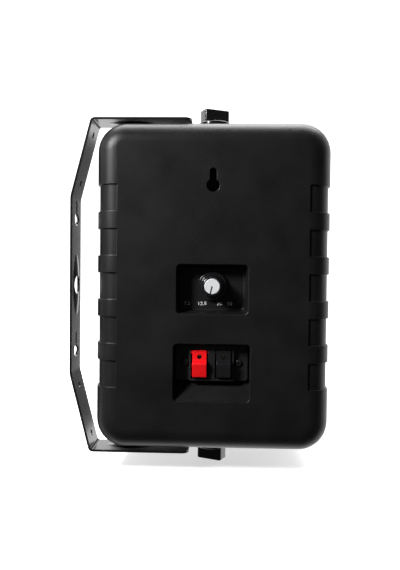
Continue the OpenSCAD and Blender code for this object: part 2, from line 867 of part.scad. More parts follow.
module tweeter_magnet() {
    color("#9a9da3")
        at_tweeter() translate([0, 0, dome_back - film_t - tweeter_magnet_t]) rotate_extrude($fn = 96)
            polygon([[0, 0], [tweeter_magnet_d / 2 - 1, 0], [tweeter_magnet_d / 2, 1],
                [tweeter_magnet_d / 2, tweeter_magnet_t], [0, tweeter_magnet_t]]);
}

module tweeter_screws() {
    color("#26272a")
        at_tweeter() for (a = [90:120:330]) rotate(a) translate([tweeter_screw_r, 0, tweeter_plate_t])
            driver_screw(tweeter_plate_t);
}

// Line transformer: its core stands on two stand-offs of the shell, clamped by a steel frame.
// Z = 0 is the top of the stand-offs and +Z is towards the speaker's front
module at_transformer() {
    facing_front(back_y - shell_wall - stand_off_h, transformer_x, transformer_z) children();
}

module transformer_core() {
    color("#6d6f74")
        at_transformer() rotate([90, 0, 0]) translate([0, 0, -core_stack / 2]) linear_extrude(core_stack)
            difference() {
                translate([-3 * core_unit, 0]) square([6 * core_unit, 5 * core_unit]);
                for (s = [-1, 1]) translate([(s * 1.5 - 0.5) * core_unit, core_unit])
                    square([core_unit, 3 * core_unit]);
            }
}

module transformer_winding() {
    gap = fit_gap / 2;
    depth = core_stack + 2 * core_unit - 2 * strap_t - through;
    color("#c7a531")
        at_transformer() translate([0, 0, core_unit + gap]) linear_extrude(3 * core_unit - 2 * gap)
            difference() {
                rounded_rect(4 * core_unit - 2 * gap, depth, core_unit * 0.5);
                square([2 * core_unit + 2 * gap, core_stack + 2 * gap], center = true);
            }
}

module transformer_strap() {
    half = 3 * core_unit;
    top = 5 * core_unit;
    foot = half + strap_t + strap_foot;
    color("#a7aab0")
        at_transformer() difference() {
            rotate([90, 0, 0]) translate([0, 0, -strap_w / 2]) linear_extrude(strap_w)
                polygon([[-foot, 0], [-half, 0], [-half, top], [half, top], [half, 0], [foot, 0],
                    [foot, strap_t], [half + strap_t, strap_t], [half + strap_t, top + strap_t],
                    [-half - strap_t, top + strap_t], [-half - strap_t, strap_t], [-foot, strap_t]]);
            for (s = [-1, 1]) translate([s * strap_pitch / 2, 0, -through])
                cylinder(d = small_screw_d + 2 * fit_gap, h = strap_t + 2 * through);
        }
}

module transformer_screws() {
    color("#8d8f93")
        at_transformer() for (s = [-1, 1]) translate([s * strap_pitch / 2, 0, strap_t])
            screw(small_screw_d, strap_t + stand_off_h - join, small_head_h);
}

// Filter board with its parts. Z = 0 is the top of its stand-offs
module at_board() {
    facing_front(back_y - shell_wall - stand_off_h, board_x, board_z) children();
}

module filter_board() {
    color("#2f6b3d")
        at_board() difference() {
            linear_extrude(board_t) rounded_rect(board_w, board_h, 2);
            for (s = [-1, 1]) translate([0, s * board_screw_pitch / 2, -through])
                cylinder(d = small_screw_d + 2 * fit_gap, h = board_t + 2 * through);
        }
}

module filter_screws() {
    color("#8d8f93")
        at_board() for (s = [-1, 1]) translate([0, s * board_screw_pitch / 2, board_t])
            screw(small_screw_d, board_t + stand_off_h - join, small_head_h);
}

capacitor_r = 6;
capacitor_l = 22;
capacitor_x = capacitor_r + 3 - board_w / 2;

module filter_capacitor() {
    r = capacitor_r;
    l = capacitor_l;
    edge = r / 6;
    color("#7a2b22")
        at_board() translate([capacitor_x, 0, board_t + r]) rotate([90, 0, 0]) translate([0, 0, -l / 2])
            rotate_extrude()
                polygon([[0, 0], [r - edge, 0], [r, edge], [r, l - edge], [r - edge, l], [0, l]]);
}

air_coil_r = 9;
air_coil_h = 12;
air_coil_x = board_w / 2 - air_coil_r - 1;
coil_flange_t = 1;
coil_bore_r = 3.5;

// A bobbin with its winding, as one turned profile
module filter_coil() {
    wound_r = air_coil_r - coil_flange_t;
    color("#b06a35")
        at_board() translate([air_coil_x, 0, board_t]) rotate_extrude()
            polygon([[coil_bore_r, 0], [air_coil_r, 0], [air_coil_r, coil_flange_t],
                [wound_r, coil_flange_t], [wound_r, air_coil_h - coil_flange_t],
                [air_coil_r, air_coil_h - coil_flange_t],
                [air_coil_r, air_coil_h], [coil_bore_r, air_coil_h]]);
}

// Power selector. Z = 0 is the floor of its recess, +Z is towards whoever turns the knob
module at_selector() {
    facing_back(back_y - selector_depth, 0, knob_z) children();
}

shaft_d = 6;
bushing_d = switch_bore_d - 2 * fit_gap;
bushing_l = 3.4;
switch_r = 10.5;
switch_l = 12;
switch_tab_w = 2.4;
switch_tab_t = 0.6;
switch_tab_l = 4;
nut_h = 2;
nut_r = 7;
knob_foot = 0.6;
knob_top = knob_foot + knob_h;
skirt_h = 3;
barrel_r = knob_d / 2 - 2;
barrel_top_r = max(knob_d / 2 - 2.6, cap_d / 2 + 1);
cap_t = 1;
cap_web = 2;
cap_bevel = 0.3;
shaft_foot = -pocket_wall - switch_l + 4;
shaft_top = knob_top - cap_t - cap_web;
pointer_w = 0.9;

module selector_switch() {
    color("#3f4247")
        at_selector() difference() {
            union() {
                translate([0, 0, -pocket_wall - switch_l]) cylinder(r = switch_r, h = switch_l);
                translate([0, 0, -pocket_wall - through])
                    cylinder(d = bushing_d, h = pocket_wall + bushing_l + through);
                for (a = [0:40:320])
                    rotate(a)
                        translate([switch_r - 3, -switch_tab_w / 2, -pocket_wall - switch_l - switch_tab_l])
                        cube([switch_tab_t, switch_tab_w, switch_tab_l + through]);
            }
            translate([0, 0, shaft_foot - through])
                cylinder(d = shaft_d + 2 * run_gap, h = pocket_wall + switch_l + bushing_l);
        }
}

module selector_shaft() {
    color("#b9bcc2")
        at_selector() translate([0, 0, shaft_foot])
            cylinder(d = shaft_d, h = shaft_top - shaft_foot);
}

module selector_nut() {
    color("#b9bcc2")
        at_selector() difference() {
            cylinder(r = nut_r, h = nut_h, $fn = 6);
            translate([0, 0, -through]) cylinder(d = bushing_d, h = nut_h + 2 * through);
        }
}

module selector_knob() {
    r = knob_d / 2;
    inner_r = nut_r + 2 * fit_gap;
    inner_top = bushing_l + 2 * fit_gap;
    skirt_round = 0.6;
    top_round = 0.8;
    color("#141416")
        at_selector() rotate_extrude($fn = 72)
            polygon(concat(
                [[shaft_d / 2, inner_top], [inner_r, inner_top], [inner_r, knob_foot], [r, knob_foot]],
                arc([r - skirt_round, skirt_h - skirt_round], skirt_round, 0, 90, 3),
                [[barrel_r + 2 * fit_gap, skirt_h + 2 * fit_gap]],
                arc([barrel_top_r - top_round, knob_top - top_round], top_round, 0, 90, 4),
                [[cap_d / 2, knob_top], [cap_d / 2, knob_top - cap_t], [0, knob_top - cap_t],
                    [0, shaft_top], [shaft_d / 2, shaft_top]]));
}

module selector_cap() {
    r = cap_d / 2;
    color("#e9eaec")
        at_selector() translate([0, 0, knob_top - cap_t]) difference() {
            rotate_extrude($fn = 72)
                polygon([[0, 0], [r, 0], [r, cap_t], [r - cap_bevel, cap_t + cap_bevel],
                    [0, cap_t + cap_bevel]]);
            rotate(pointer_angle - 90) translate([0, -pointer_w / 2, cap_t - cap_bevel])
                cube([r + through, pointer_w, through]);
        }
}

// Push terminals. Z = 0 is the floor of their recess, +Z is towards whoever presses them
module at_terminal() {
    facing_back(back_y - terminal_depth, 0, terminal_z) children();
}

block_z = 8;
ear_z = 5;
block_wall = 1.2;
lever_gap = 0.3;
chamber_w = lever_w + 2 * lever_gap;
chamber_floor = 1;
lever_top = block_top - 3.2;
lever_bottom = block_top - block_h + 2.5;
lever_back = 5;
lever_face = 8.6;
lever_crest = 12;
hinge_y = lever_top - 1.5;
hinge_z = 6.6;
hinge_r = 1.2;
hinge_pin_l = 0.9;
hinge_l = chamber_w + 2 * hinge_pin_l;
chamber_low = lever_bottom - 1;
chamber_high = lever_top + 0.5;
wire_hole_y = lever_top - 4.2;
contact_t = 0.5;
contact_w = 6;
spring_w = 5;
spring_t = 0.35;
tab_w = 2.4;
tab_t = 0.8;
tab_reach = 8;
ear_in = 1;
block_corner = 1;

module terminal_block() {
    centre_w = lever_pitch + chamber_w + 2 * block_wall;
    color("#17181a")
        at_terminal() difference() {
            union() {
                translate([0, block_mid, 0]) linear_extrude(ear_z)
                    rounded_rect(terminal_w - 2 * ear_in, block_h, pocket_wall);
                translate([0, block_mid, 0]) linear_extrude(block_z)
                    rounded_rect(centre_w, block_h, block_corner);
            }
            for (s = [-1, 1]) {
                translate([s * lever_pitch / 2 - chamber_w / 2, chamber_low, chamber_floor])
                    cube([chamber_w, chamber_high - chamber_low, block_z]);
                translate([s * lever_pitch / 2, hinge_y, hinge_z]) rotate([0, 90, 0])
                    cylinder(r = hinge_r + run_gap, h = hinge_l + 2 * run_gap, center = true, $fn = 32);
                translate([s * lever_pitch / 2, block_mid, 0])
                    cube([tab_w + 2 * fit_gap, tab_t + 2 * fit_gap, 3 * chamber_floor], center = true);
                translate([s * terminal_screw_pitch / 2, block_mid, -through])
                    cylinder(d = terminal_screw_d + 2 * fit_gap, h = block_z + 2 * through);
            }
        }
}

// One lever as the side profile of its tab and face, with its hinge pins and its wire hole
module lever() {
    outline = rounded_outline(
        [[lever_back, lever_bottom], [lever_crest - 1.5, lever_bottom], [lever_crest, wire_hole_y - 3.8],
            [lever_crest - 0.6, wire_hole_y - 2.6], [lever_face, wire_hole_y - 2], [lever_face, lever_top],
            [lever_back, lever_top]],
        [0, 0.8, 1.2, 0.6, 0.3, 0.5, 0.5], 4);
    difference() {
        union() {
            rotate([0, -90, 180]) translate([0, 0, -lever_w / 2]) linear_extrude(lever_w)
                polygon([for (p = outline) [p[0], -p[1]]]);
            translate([0, hinge_y, hinge_z]) rotate([0, 90, 0])
                cylinder(r = hinge_r, h = hinge_l, center = true, $fn = 32);
        }
        translate([0, wire_hole_y, 0]) cylinder(d = wire_hole_d, h = lever_crest + through);
    }
}

module red_lever() {
    color("#d01218") at_terminal() translate([-lever_pitch / 2, 0, 0]) lever();
}

module black_lever() {
    color("#1b1c1e") at_terminal() translate([lever_pitch / 2, 0, 0]) lever();
}

// Contact plate under the wire hole, with its solder tab through the floor of the recess
module contact() {
    low = block_mid - tab_t / 2;
    high = hinge_y - 2 * fit_gap;
    translate([-contact_w / 2, low, chamber_floor]) cube([contact_w, high - low, contact_t]);
    translate([-tab_w / 2, block_mid - tab_t / 2, -pocket_wall - tab_reach])
        cube([tab_w, tab_t, pocket_wall + tab_reach + chamber_floor + contact_t / 2]);
}

module red_contact() {
    color("#c9a24a") at_terminal() translate([-lever_pitch / 2, 0, 0]) contact();
}

module black_contact() {
    color("#c9a24a") at_terminal() translate([lever_pitch / 2, 0, 0]) contact();
}

// Leaf spring that rests on the contact plate and presses on the back of the tab
module leaf_spring() {
    low = chamber_floor + contact_t;
    high = lever_back - touch;
    base = block_mid + 1.5;
    foot = base + 2;
    tip = lever_bottom + 1.2;
    rotate([0, -90, 180]) translate([0, 0, -spring_w / 2]) linear_extrude(spring_w)
        polygon([for (p = [[low, foot], [low, base], [high - spring_t, tip], [high, tip], [high, tip + 1],
            [low + spring_t, base + spring_t], [low + spring_t, foot]]) [p[0], -p[1]]]);
}

module red_spring() {
    color("#b9bcc2") at_terminal() translate([-lever_pitch / 2, 0, 0]) leaf_spring();
}

module black_spring() {
    color("#b9bcc2") at_terminal() translate([lever_pitch / 2, 0, 0]) leaf_spring();
}

module terminal_screws() {
    color("#3a3b3e")
        at_terminal() for (s = [-1, 1]) translate([s * terminal_screw_pitch / 2, block_mid, ear_z])
            screw(terminal_screw_d, ear_z + pocket_wall + 1, small_head_h);
}

// Bracket
fold_angle = atan2(lean, arm_outside - spine_length / 2);

// The closed outline of the bracket seen from its edge, moved inwards by in
module bracket_outline(in, end) {
    arm = arm_outside - in;
    corner = -lean - in * tan((90 - fold_angle) / 2);
    fold = spine_length / 2 - in * tan(fold_angle / 2);
    outer_r = corner_fold_r - in;
    bend_r = spine_fold_r - in;
    polygon(rounded_outline(
        [[-end, -arm], [corner, -arm], [-in, -fold], [-in, fold], [corner, arm], [-end, arm]],
        [0, outer_r, bend_r, bend_r, outer_r, 0]));
}

arm_root = lean + 10;
arm_brace = 20;
stud_clear = 0.3;

module arm_plan() {
    end = axis_x + arm_setback;
    near = strip_w / 2;
    polygon(concat(
        [[-arm_root, -near], [-arm_root, near]],
        rounded_corner([-arm_root, near], [end, near], [end, -near], arm_end_r, arc_steps),
        [[end, axis_y + eye_r]],
        arc([axis_x, axis_y], eye_r, 90, 300, 20),
        [[end + arm_brace, -near]]));
}

// A long shallow dome standing on Z = 0, as a barrel cut by the sheet's face
module oval_dome(l, w, h, sheet, hollow) {
    side_r = (w * w / 4 + h * h) / (2 * h);
    long_r = (l * l / 4 + h * h) / (2 * h);
    low = hollow ? -sheet - through : -sheet / 2;
    intersection() {
        translate([0, 0, h - side_r - (hollow ? sheet : 0)]) rotate([0, 90, 0])
            rotate_extrude($fn = 96)
                polygon(concat([[0, -l / 2]],
                    [for (i = [-6:6]) let (x = l / 2 * i / 6)
                        [side_r - long_r + sqrt(long_r * long_r - x * x), x]],
                    [[0, l / 2]]));
        translate([-l / 2, -w / 2 - 1, low]) cube([l, w + 2, h + 2 * sheet + through]);
    }
}

module bracket_domes(hollow) {
    translate([-strip_t, 0, 0]) rotate([0, -90, 0])
        oval_dome(spine_bead_l, spine_bead_w, bead_h, strip_t, hollow);
    for (s = [0, 1]) mirror([0, 0, s])
        translate([-arm_bead_x, 0, arm_inside]) rotate([180, 0, 0])
            oval_dome(arm_bead_l, arm_bead_w, bead_h, strip_t, hollow);
}

// A slot of the wall keyholes, from the head hole's centre to a round end
module keyhole_slot(length) {
    reach = length - wall_slot_w / 2;
    linear_extrude(strip_t + 2 * through) {
        translate([0, -wall_slot_w / 2]) square([reach, wall_slot_w]);
        translate([reach, 0]) circle(d = wall_slot_w, $fn = 32);
    }
}

module wall_keyhole() {
    translate([through, 0, 0]) rotate([0, -90, 0]) {
        cylinder(d = wall_head_d, h = strip_t + 2 * through);
        keyhole_slot(wall_slot_rise);
        rotate(-90) keyhole_slot(wall_slot_side);
    }
}

module bracket() {
    color("#18191b") difference() {
        union() {
            rotate([90, 0, 0]) translate([0, 0, -strip_w / 2]) linear_extrude(strip_w)
                difference() {
                    bracket_outline(0, arm_root + 2);
                    bracket_outline(strip_t, arm_root + 2 + through);
                }
            for (s = [0, 1]) mirror([0, 0, s])
                translate([0, 0, arm_inside]) linear_extrude(strip_t) arm_plan();
            bracket_domes(false);
        }
        bracket_domes(true);
        translate([-strip_t - bead_h - through, 0, 0]) rotate([0, 90, 0])
            cylinder(d = cable_hole_d, h = strip_t + bead_h + 2 * through);
        for (s = [-1, 1]) translate([0, 0, s * wall_keyhole_pitch / 2]) wall_keyhole();
        for (s = [0, 1], z = [small_hole_near, small_hole_far]) mirror([0, 0, s])
            translate([-(z - spine_length / 2) * tan(fold_angle), 0, z]) rotate([0, 90 - fold_angle, 0])
                cylinder(d = small_hole_d, h = 3 * strip_t, center = true, $fn = 32);
        translate([axis_x, axis_y, -arm_outside - through])
            cylinder(r = stud_d / 2 + stud_clear, h = 2 * (arm_outside + through));
    }
}

// Clamp at the top; the one at the bottom is the same, turned over about the X axis
module clamp_side(bottom) {
    translate([axis_x, axis_y, 0]) rotate([bottom ? 180 : 0, 0, 0]) children();
}

knob_seat = arm_outside + washer_t;
stud_into_knob = flange_h + grip_h - 4;
flange_round = 1;
grip_round = 1.6;
grip_edge = 1;

module rubber_washer(bottom) {
    color("#101010")
        clamp_side(bottom) translate([0, 0, shell_top]) difference() {
            cylinder(d = pad_d, h = pad_t);
            translate([0, 0, -through]) cylinder(r = stud_d / 2 + stud_clear, h = pad_t + 2 * through);
        }
}

module steel_washer(bottom) {
    color("#c4c7cc")
        clamp_side(bottom) translate([0, 0, arm_outside]) difference() {
            cylinder(r = eye_r - fit_gap, h = washer_t);
            translate([0, 0, -through]) cylinder(r = stud_d / 2 + stud_clear, h = washer_t + 2 * through);
        }
}

module clamp_knob(bottom) {
    color("#161618")
        clamp_side(bottom) translate([0, 0, knob_seat]) difference() {
            union() {
                rotate_extrude($fn = 72)
                    polygon(concat([[0, 0], [flange_d / 2, 0]],
                        arc([flange_d / 2 - flange_round, flange_h - flange_round], flange_round, 0, 90, 4),
                        [[0, flange_h]]));
                rotate(grip_angle) {
                    linear_extrude(flange_h + grip_h - grip_edge) rounded_rect(grip_l, grip_w, grip_round);
                    translate([0, 0, flange_h + grip_h - grip_edge]) linear_extrude(grip_edge)
                        rounded_rect(grip_l - grip_edge, grip_w - grip_edge, grip_round);
                }
            }
            translate([0, 0, -through]) cylinder(d = stud_d, h = stud_into_knob + through);
        }
}

module clamp_stud(bottom) {
    length = stud_into_knob + knob_seat - shell_top + stud_reach;
    color("#c4c7cc")
        clamp_side(bottom) translate([0, 0, shell_top - stud_reach]) rotate_extrude()
            polygon([[0, 0], [stud_d / 2 - 0.8, 0], [stud_d / 2, 0.8], [stud_d / 2, length], [0, length]]);
}

insert_groove = 0.5;

module threaded_insert(bottom) {
    r = insert_d / 2;
    waist = r - insert_groove;
    bore_r = stud_d / 2 + run_gap;
    bore_end = insert_l - stud_reach - 1;
    color("#c9a24a")
        clamp_side(bottom) translate([0, 0, shell_top - insert_l]) rotate_extrude()
            polygon([[0, 0], [waist, 0], [r, insert_groove], [r, insert_l * 0.4], [waist, insert_l * 0.45],
                [waist, insert_l * 0.55], [r, insert_l * 0.6], [r, insert_l], [bore_r, insert_l],
                [bore_r, bore_end], [0, bore_end]]);
}

module top_rubber_washer() { rubber_washer(false); }
module bottom_rubber_washer() { rubber_washer(true); }
module top_steel_washer() { steel_washer(false); }
module bottom_steel_washer() { steel_washer(true); }
module top_clamp_knob() { clamp_knob(false); }
module bottom_clamp_knob() { clamp_knob(true); }
module top_clamp_stud() { clamp_stud(false); }
module bottom_clamp_stud() { clamp_stud(true); }
module top_threaded_insert() { threaded_insert(false); }
module bottom_threaded_insert() { threaded_insert(true); }

bracket();
top_rubber_washer();
bottom_rubber_washer();
top_steel_washer();
bottom_steel_washer();
top_clamp_knob();
bottom_clamp_knob();
top_clamp_stud();
bottom_clamp_stud();
top_threaded_insert();
bottom_threaded_insert();
rear_shell();
front_frame();
frame_gasket();
frame_screws();
grille();
woofer_basket();
woofer_gasket();
woofer_screws();
woofer_front_plate();
woofer_magnet();
woofer_yoke();
woofer_spider();
woofer_surround();
woofer_cone();
woofer_dust_cap();
woofer_coil_former();
woofer_coil();
tweeter_face_plate();
tweeter_dome();
tweeter_magnet();
tweeter_screws();
transformer_core();
transformer_winding();
transformer_strap();
transformer_screws();
selector_switch();
selector_shaft();
selector_nut();
selector_knob();
selector_cap();
terminal_block();
red_lever();
black_lever();
red_contact();
black_contact();
red_spring();
black_spring();
terminal_screws();
filter_board();
filter_screws();
filter_capacitor();
filter_coil();
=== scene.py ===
import bpy
import bmesh
import json
import math
from mathutils import Matrix, Vector

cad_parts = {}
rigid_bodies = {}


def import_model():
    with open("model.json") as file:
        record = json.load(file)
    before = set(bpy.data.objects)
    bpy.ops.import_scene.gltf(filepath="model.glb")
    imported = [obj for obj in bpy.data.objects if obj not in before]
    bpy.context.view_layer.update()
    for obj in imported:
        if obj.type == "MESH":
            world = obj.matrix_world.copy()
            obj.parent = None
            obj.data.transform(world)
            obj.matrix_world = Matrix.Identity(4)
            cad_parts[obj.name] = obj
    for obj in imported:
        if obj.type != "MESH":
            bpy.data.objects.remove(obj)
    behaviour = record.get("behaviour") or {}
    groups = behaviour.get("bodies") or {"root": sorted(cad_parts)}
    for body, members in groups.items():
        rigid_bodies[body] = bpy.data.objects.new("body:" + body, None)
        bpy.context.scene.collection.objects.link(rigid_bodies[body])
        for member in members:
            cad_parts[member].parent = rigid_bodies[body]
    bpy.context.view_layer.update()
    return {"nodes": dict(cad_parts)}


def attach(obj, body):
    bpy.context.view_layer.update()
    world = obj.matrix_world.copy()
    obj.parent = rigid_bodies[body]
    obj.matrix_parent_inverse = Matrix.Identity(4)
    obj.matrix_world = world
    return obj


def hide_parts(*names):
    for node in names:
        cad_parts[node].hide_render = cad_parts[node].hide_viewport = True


for leftOver in list(bpy.data.objects):
    bpy.data.objects.remove(leftOver)

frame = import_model()
mm = 0.001

# Places that every piece shares, in mm. The wall is x = 0 and the speaker's back faces +Y
cabinet = {
    "axisX": -93.0251, "axisY": -22, "backY": 23, "partingY": -84,
    "width": 150, "height": 210, "cornerR": 19, "rearRound": 14, "wall": 3,
}
midX = cabinet["axisX"]


# Modelling helpers

def calm():
    if bpy.context.object and bpy.context.object.mode != "OBJECT":
        bpy.ops.object.mode_set(mode="OBJECT")
    bpy.ops.object.select_all(action="DESELECT")


def wake(piece):
    calm()
    piece.select_set(True)
    bpy.context.view_layer.objects.active = piece


def added(name):
    piece = bpy.context.object
    piece.name = name
    piece.data.name = name
    bpy.ops.object.transform_apply(location=True, rotation=True, scale=True)
    return piece


def box(name, low, high):
    calm()
    low, high = Vector(low) * mm, Vector(high) * mm
    bpy.ops.mesh.primitive_cube_add(size=1, location=(low + high) / 2, scale=high - low)
    return added(name)


def rod(name, centre, radius, depth, turn=(0, 0, 0), sides=48):
    calm()
    bpy.ops.mesh.primitive_cylinder_add(vertices=sides, radius=radius * mm, depth=depth * mm,
                                        location=Vector(centre) * mm, rotation=turn)
    return added(name)


alongY = (math.pi / 2, 0, 0)
alongX = (0, math.pi / 2, 0)


def edit(piece, kind="VERT"):
    wake(piece)
    bpy.ops.object.mode_set(mode="EDIT")
    bpy.ops.mesh.select_mode(type=kind)
    bpy.ops.mesh.select_all(action="DESELECT")


def pick(piece, kind, test):
    # selects by place, in mm: test gets a vertex, an edge or a face
    bpy.ops.mesh.select_mode(type=kind)
    bpy.ops.mesh.select_all(action="DESELECT")
    mesh = bmesh.from_edit_mesh(piece.data)
    found = 0
    for part in {"VERT": mesh.verts, "EDGE": mesh.edges, "FACE": mesh.faces}[kind]:
        if test(part):
            part.select_set(True)
            found += 1
    mesh.select_flush_mode()
    bmesh.update_edit_mesh(piece.data)
    return found


def middle(part):
    # centre of a vertex, edge or face in mm
    if hasattr(part, "co"):
        return part.co / mm
    return sum((v.co for v in part.verts), Vector()) / len(part.verts) / mm


def along(edge, axis):
    line = edge.verts[1].co - edge.verts[0].co
    return line.length > 0 and abs(line.normalized()[axis]) > 0.999


def roundEdges(width, steps):
    bpy.ops.mesh.bevel(offset=width * mm, segments=steps, affect="EDGES", profile=0.5)


def raiseFace(height):
    bpy.ops.mesh.extrude_region_move(TRANSFORM_OT_translate={"value": (0, height * mm, 0)})


def finish(piece, kind, **settings):
    # adds a modifier and applies it
    wake(piece)
    modifier = piece.modifiers.new(kind.title(), kind)
    for key, value in settings.items():
        setattr(modifier, key, value)
    bpy.ops.object.modifier_apply(modifier=modifier.name)
    return piece


def combine(piece, tool, how, selfTouching=False):
    finish(piece, "BOOLEAN", object=tool, operation=how, solver="EXACT", use_self=selfTouching)
    bpy.data.objects.remove(tool)
    return piece


def together(name, parts):
    wake(parts[0])
    for part in parts[1:]:
        part.select_set(True)
    bpy.ops.object.join()
    parts[0].name = name
    parts[0].data.name = name
    return parts[0]


def tidy(piece, gap=0.002):
    edit(piece)
    bpy.ops.mesh.select_all(action="SELECT")
    bpy.ops.mesh.remove_doubles(threshold=gap * mm)
    bpy.ops.mesh.normals_make_consistent(inside=False)
    calm()
    return piece


def soften(piece, width, steps, angle):
    return finish(piece, "BEVEL", width=width * mm, segments=steps, limit_method="ANGLE",
                  angle_limit=math.radians(angle), use_clamp_overlap=True, harden_normals=False)


def smooth(piece):
    wake(piece)
    bpy.ops.object.shade_smooth_by_angle(angle=math.radians(30))
    return finish(piece, "WEIGHTED_NORMAL", keep_sharp=True, weight=60)


def copied(piece, name):
    twin = piece.copy()
    twin.data = piece.data.copy()
    twin.name = name
    twin.data.name = name
    bpy.context.scene.collection.objects.link(twin)
    return twin


def moved(piece, shift=(0, 0, 0), turn=0.0, axis="Z", about=(0, 0, 0), flip=(1, 1, 1)):
    about = Vector(about) * mm
    place = Matrix.Translation(Vector(shift) * mm) @ Matrix.Translation(about)
    spin = Matrix.Rotation(math.radians(turn), 4, axis) @ Matrix.Diagonal((*flip, 1))
    piece.data.transform(place @ spin @ Matrix.Translation(-about))
    if flip[0] * flip[1] * flip[2] < 0:
        piece.data.flip_normals()
    return piece


def dressed(piece, finishName, body, nodes=(), ink=None):
    # ink is a finish that covers the slot's own one
    piece.data.materials.clear()
    piece.data.materials.append(finishes[ink or finishName])
    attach(piece, body)
    if nodes:
        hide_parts(*nodes)
    return piece


# Materials

class Wire:
    def __init__(self, nodes, socket):
        self.nodes = nodes
        self.socket = socket

    def maths(self, operation, *others):
        node = self.nodes.new("ShaderNodeMath")
        node.operation = operation
        for place, value in enumerate((self, *others)):
            plug(node.inputs[place], value)
        return Wire(self.nodes, node.outputs[0])

    def __add__(self, other):
        return self.maths("ADD", other)

    def __sub__(self, other):
        return self.maths("SUBTRACT", other)

    def __mul__(self, other):
        return self.maths("MULTIPLY", other)

    def __pow__(self, other):
        return self.maths("POWER", other)

    def __abs__(self):
        return self.maths("ABSOLUTE")

    def __gt__(self, other):
        return self.maths("GREATER_THAN", other)


def plug(socket, value):
    if isinstance(value, Wire):
        socket.node.id_data.links.new(value.socket, socket)
    else:
        socket.default_value = value


class Finish:
    def __init__(self, name, colour, roughness, metallic=0.0, specular=0.5):
        self.material = bpy.data.materials.new(name)
        self.material.use_nodes = True
        self.tree = self.material.node_tree
        self.shader = self.tree.nodes["Principled BSDF"]
        self.set("Base Color", (*colour, 1))
        self.set("Roughness", roughness)
        self.set("Metallic", metallic)
        self.set("Specular IOR Level", specular)
        self.place = self.node("ShaderNodeTexCoord", out="Object")

    def set(self, socket, value):
        plug(self.shader.inputs[socket], value)

    def node(self, kind, settings=None, out=0, **sockets):
        node = self.tree.nodes.new(kind)
        for key, value in (settings or {}).items():
            setattr(node, key, value)
        for key, value in sockets.items():
            plug(node.inputs[key.replace("_", " ")], value)
        return Wire(self.tree.nodes, node.outputs[out])

    def about(self, centre, turn=(0, 0, 0), stretch=(1, 1, 1)):
        # object coordinates centred on a point in mm, then turned and stretched
        shifted = self.node("ShaderNodeVectorMath", {"operation": "SUBTRACT"})
        plug(shifted.socket.node.inputs[0], self.place)
        plug(shifted.socket.node.inputs[1], Vector(centre) * mm)
        return self.node("ShaderNodeMapping", Vector=shifted, Rotation=turn, Scale=stretch)

    def axes(self, where=None):
        split = self.tree.nodes.new("ShaderNodeSeparateXYZ")
        plug(split.inputs[0], where or self.place)
        return [Wire(self.tree.nodes, socket) for socket in split.outputs]

    def grain(self, size, detail=2.0, rough=0.5, where=None):
        # noise whose blotches are about size mm across
        return self.node("ShaderNodeTexNoise", Vector=where or self.place, Scale=1 / (size * mm),
                         Detail=detail, Roughness=rough)

    def cells(self, size, feature):
        return self.node("ShaderNodeTexVoronoi", {"feature": feature}, Vector=self.place,
                         Scale=1 / (size * mm))

    def step(self, value, low, high):
        return self.node("ShaderNodeMapRange", {"interpolation_type": "SMOOTHSTEP"}, Value=value,
                         From_Min=low, From_Max=high)

    def blend(self, factor, first, second):
        node = self.tree.nodes.new("ShaderNodeMix")
        node.data_type = "RGBA"
        plug(node.inputs[0], factor)
        plug(node.inputs[6], first if isinstance(first, Wire) else (*first, 1))
        plug(node.inputs[7], second if isinstance(second, Wire) else (*second, 1))
        return Wire(self.tree.nodes, node.outputs[2])

    def relief(self, height, strength, distance):
        # height 0..1 stands distance mm proud
        bump = self.node("ShaderNodeBump", Height=height, Strength=strength, Distance=distance * mm)
        self.set("Normal", bump)


def tinted(colour, factor):
    return tuple(min(1.0, c * factor) for c in colour)


# Moulded or painted finishes. The grain's size and height are in mm, and mottle is the spread of the colour
moulded = {
    "shell_plastic": {"colour": (0.0062, 0.0062, 0.0068), "rough": 0.4, "grain": 0.7, "bump": 0.7,
                      "height": 0.15, "mottle": 0.3, "specular": 0.28},
    "knob_plastic": {"colour": (0.009, 0.009, 0.010), "rough": 0.16, "grain": 1.4, "bump": 0.06,
                     "height": 0.05, "mottle": 0.2, "specular": 0.5},
    "block_plastic": {"colour": (0.008, 0.008, 0.0085), "rough": 0.4, "grain": 0.6, "bump": 0.18,
                      "height": 0.05, "mottle": 0.25, "specular": 0.4},
    "red_plastic": {"colour": (0.74, 0.006, 0.009), "rough": 0.3, "grain": 1.6, "bump": 0.08,
                    "height": 0.05, "mottle": 0.12, "specular": 0.45},
    "grille_paint": {"colour": (0.012, 0.012, 0.0125), "rough": 0.42, "grain": 0.5, "bump": 0.3,
                     "height": 0.06, "mottle": 0.25, "specular": 0.5},
    "black_paint": {"colour": (0.007, 0.007, 0.0078), "rough": 0.22, "grain": 1.1, "bump": 0.12,
                    "height": 0.05, "mottle": 0.25, "specular": 0.65},
    "rubber": {"colour": (0.010, 0.010, 0.010), "rough": 0.75, "grain": 0.5, "bump": 0.4,
               "height": 0.06, "mottle": 0.35, "specular": 0.3},
    "black_screw": {"colour": (0.008, 0.008, 0.009), "rough": 0.3, "grain": 0.4, "bump": 0.15,
                    "height": 0.04, "mottle": 0.3, "specular": 0.5},
    "tweeter_plastic": {"colour": (0.012, 0.012, 0.013), "rough": 0.5, "grain": 0.5, "bump": 0.25,
                        "height": 0.06, "mottle": 0.25, "specular": 0.4},
    "switch_body": {"colour": (0.045, 0.048, 0.054), "rough": 0.45, "grain": 0.7, "bump": 0.2,
                    "height": 0.05, "mottle": 0.25, "specular": 0.4},
    "ferrite": {"colour": (0.028, 0.028, 0.030), "rough": 0.62, "grain": 0.6, "bump": 0.5,
                "height": 0.08, "mottle": 0.45, "specular": 0.4},
    "dome_film": {"colour": (0.42, 0.44, 0.47), "rough": 0.3, "grain": 1.2, "bump": 0.08,
                  "height": 0.05, "mottle": 0.15, "specular": 0.5, "metallic": 0.7},
}


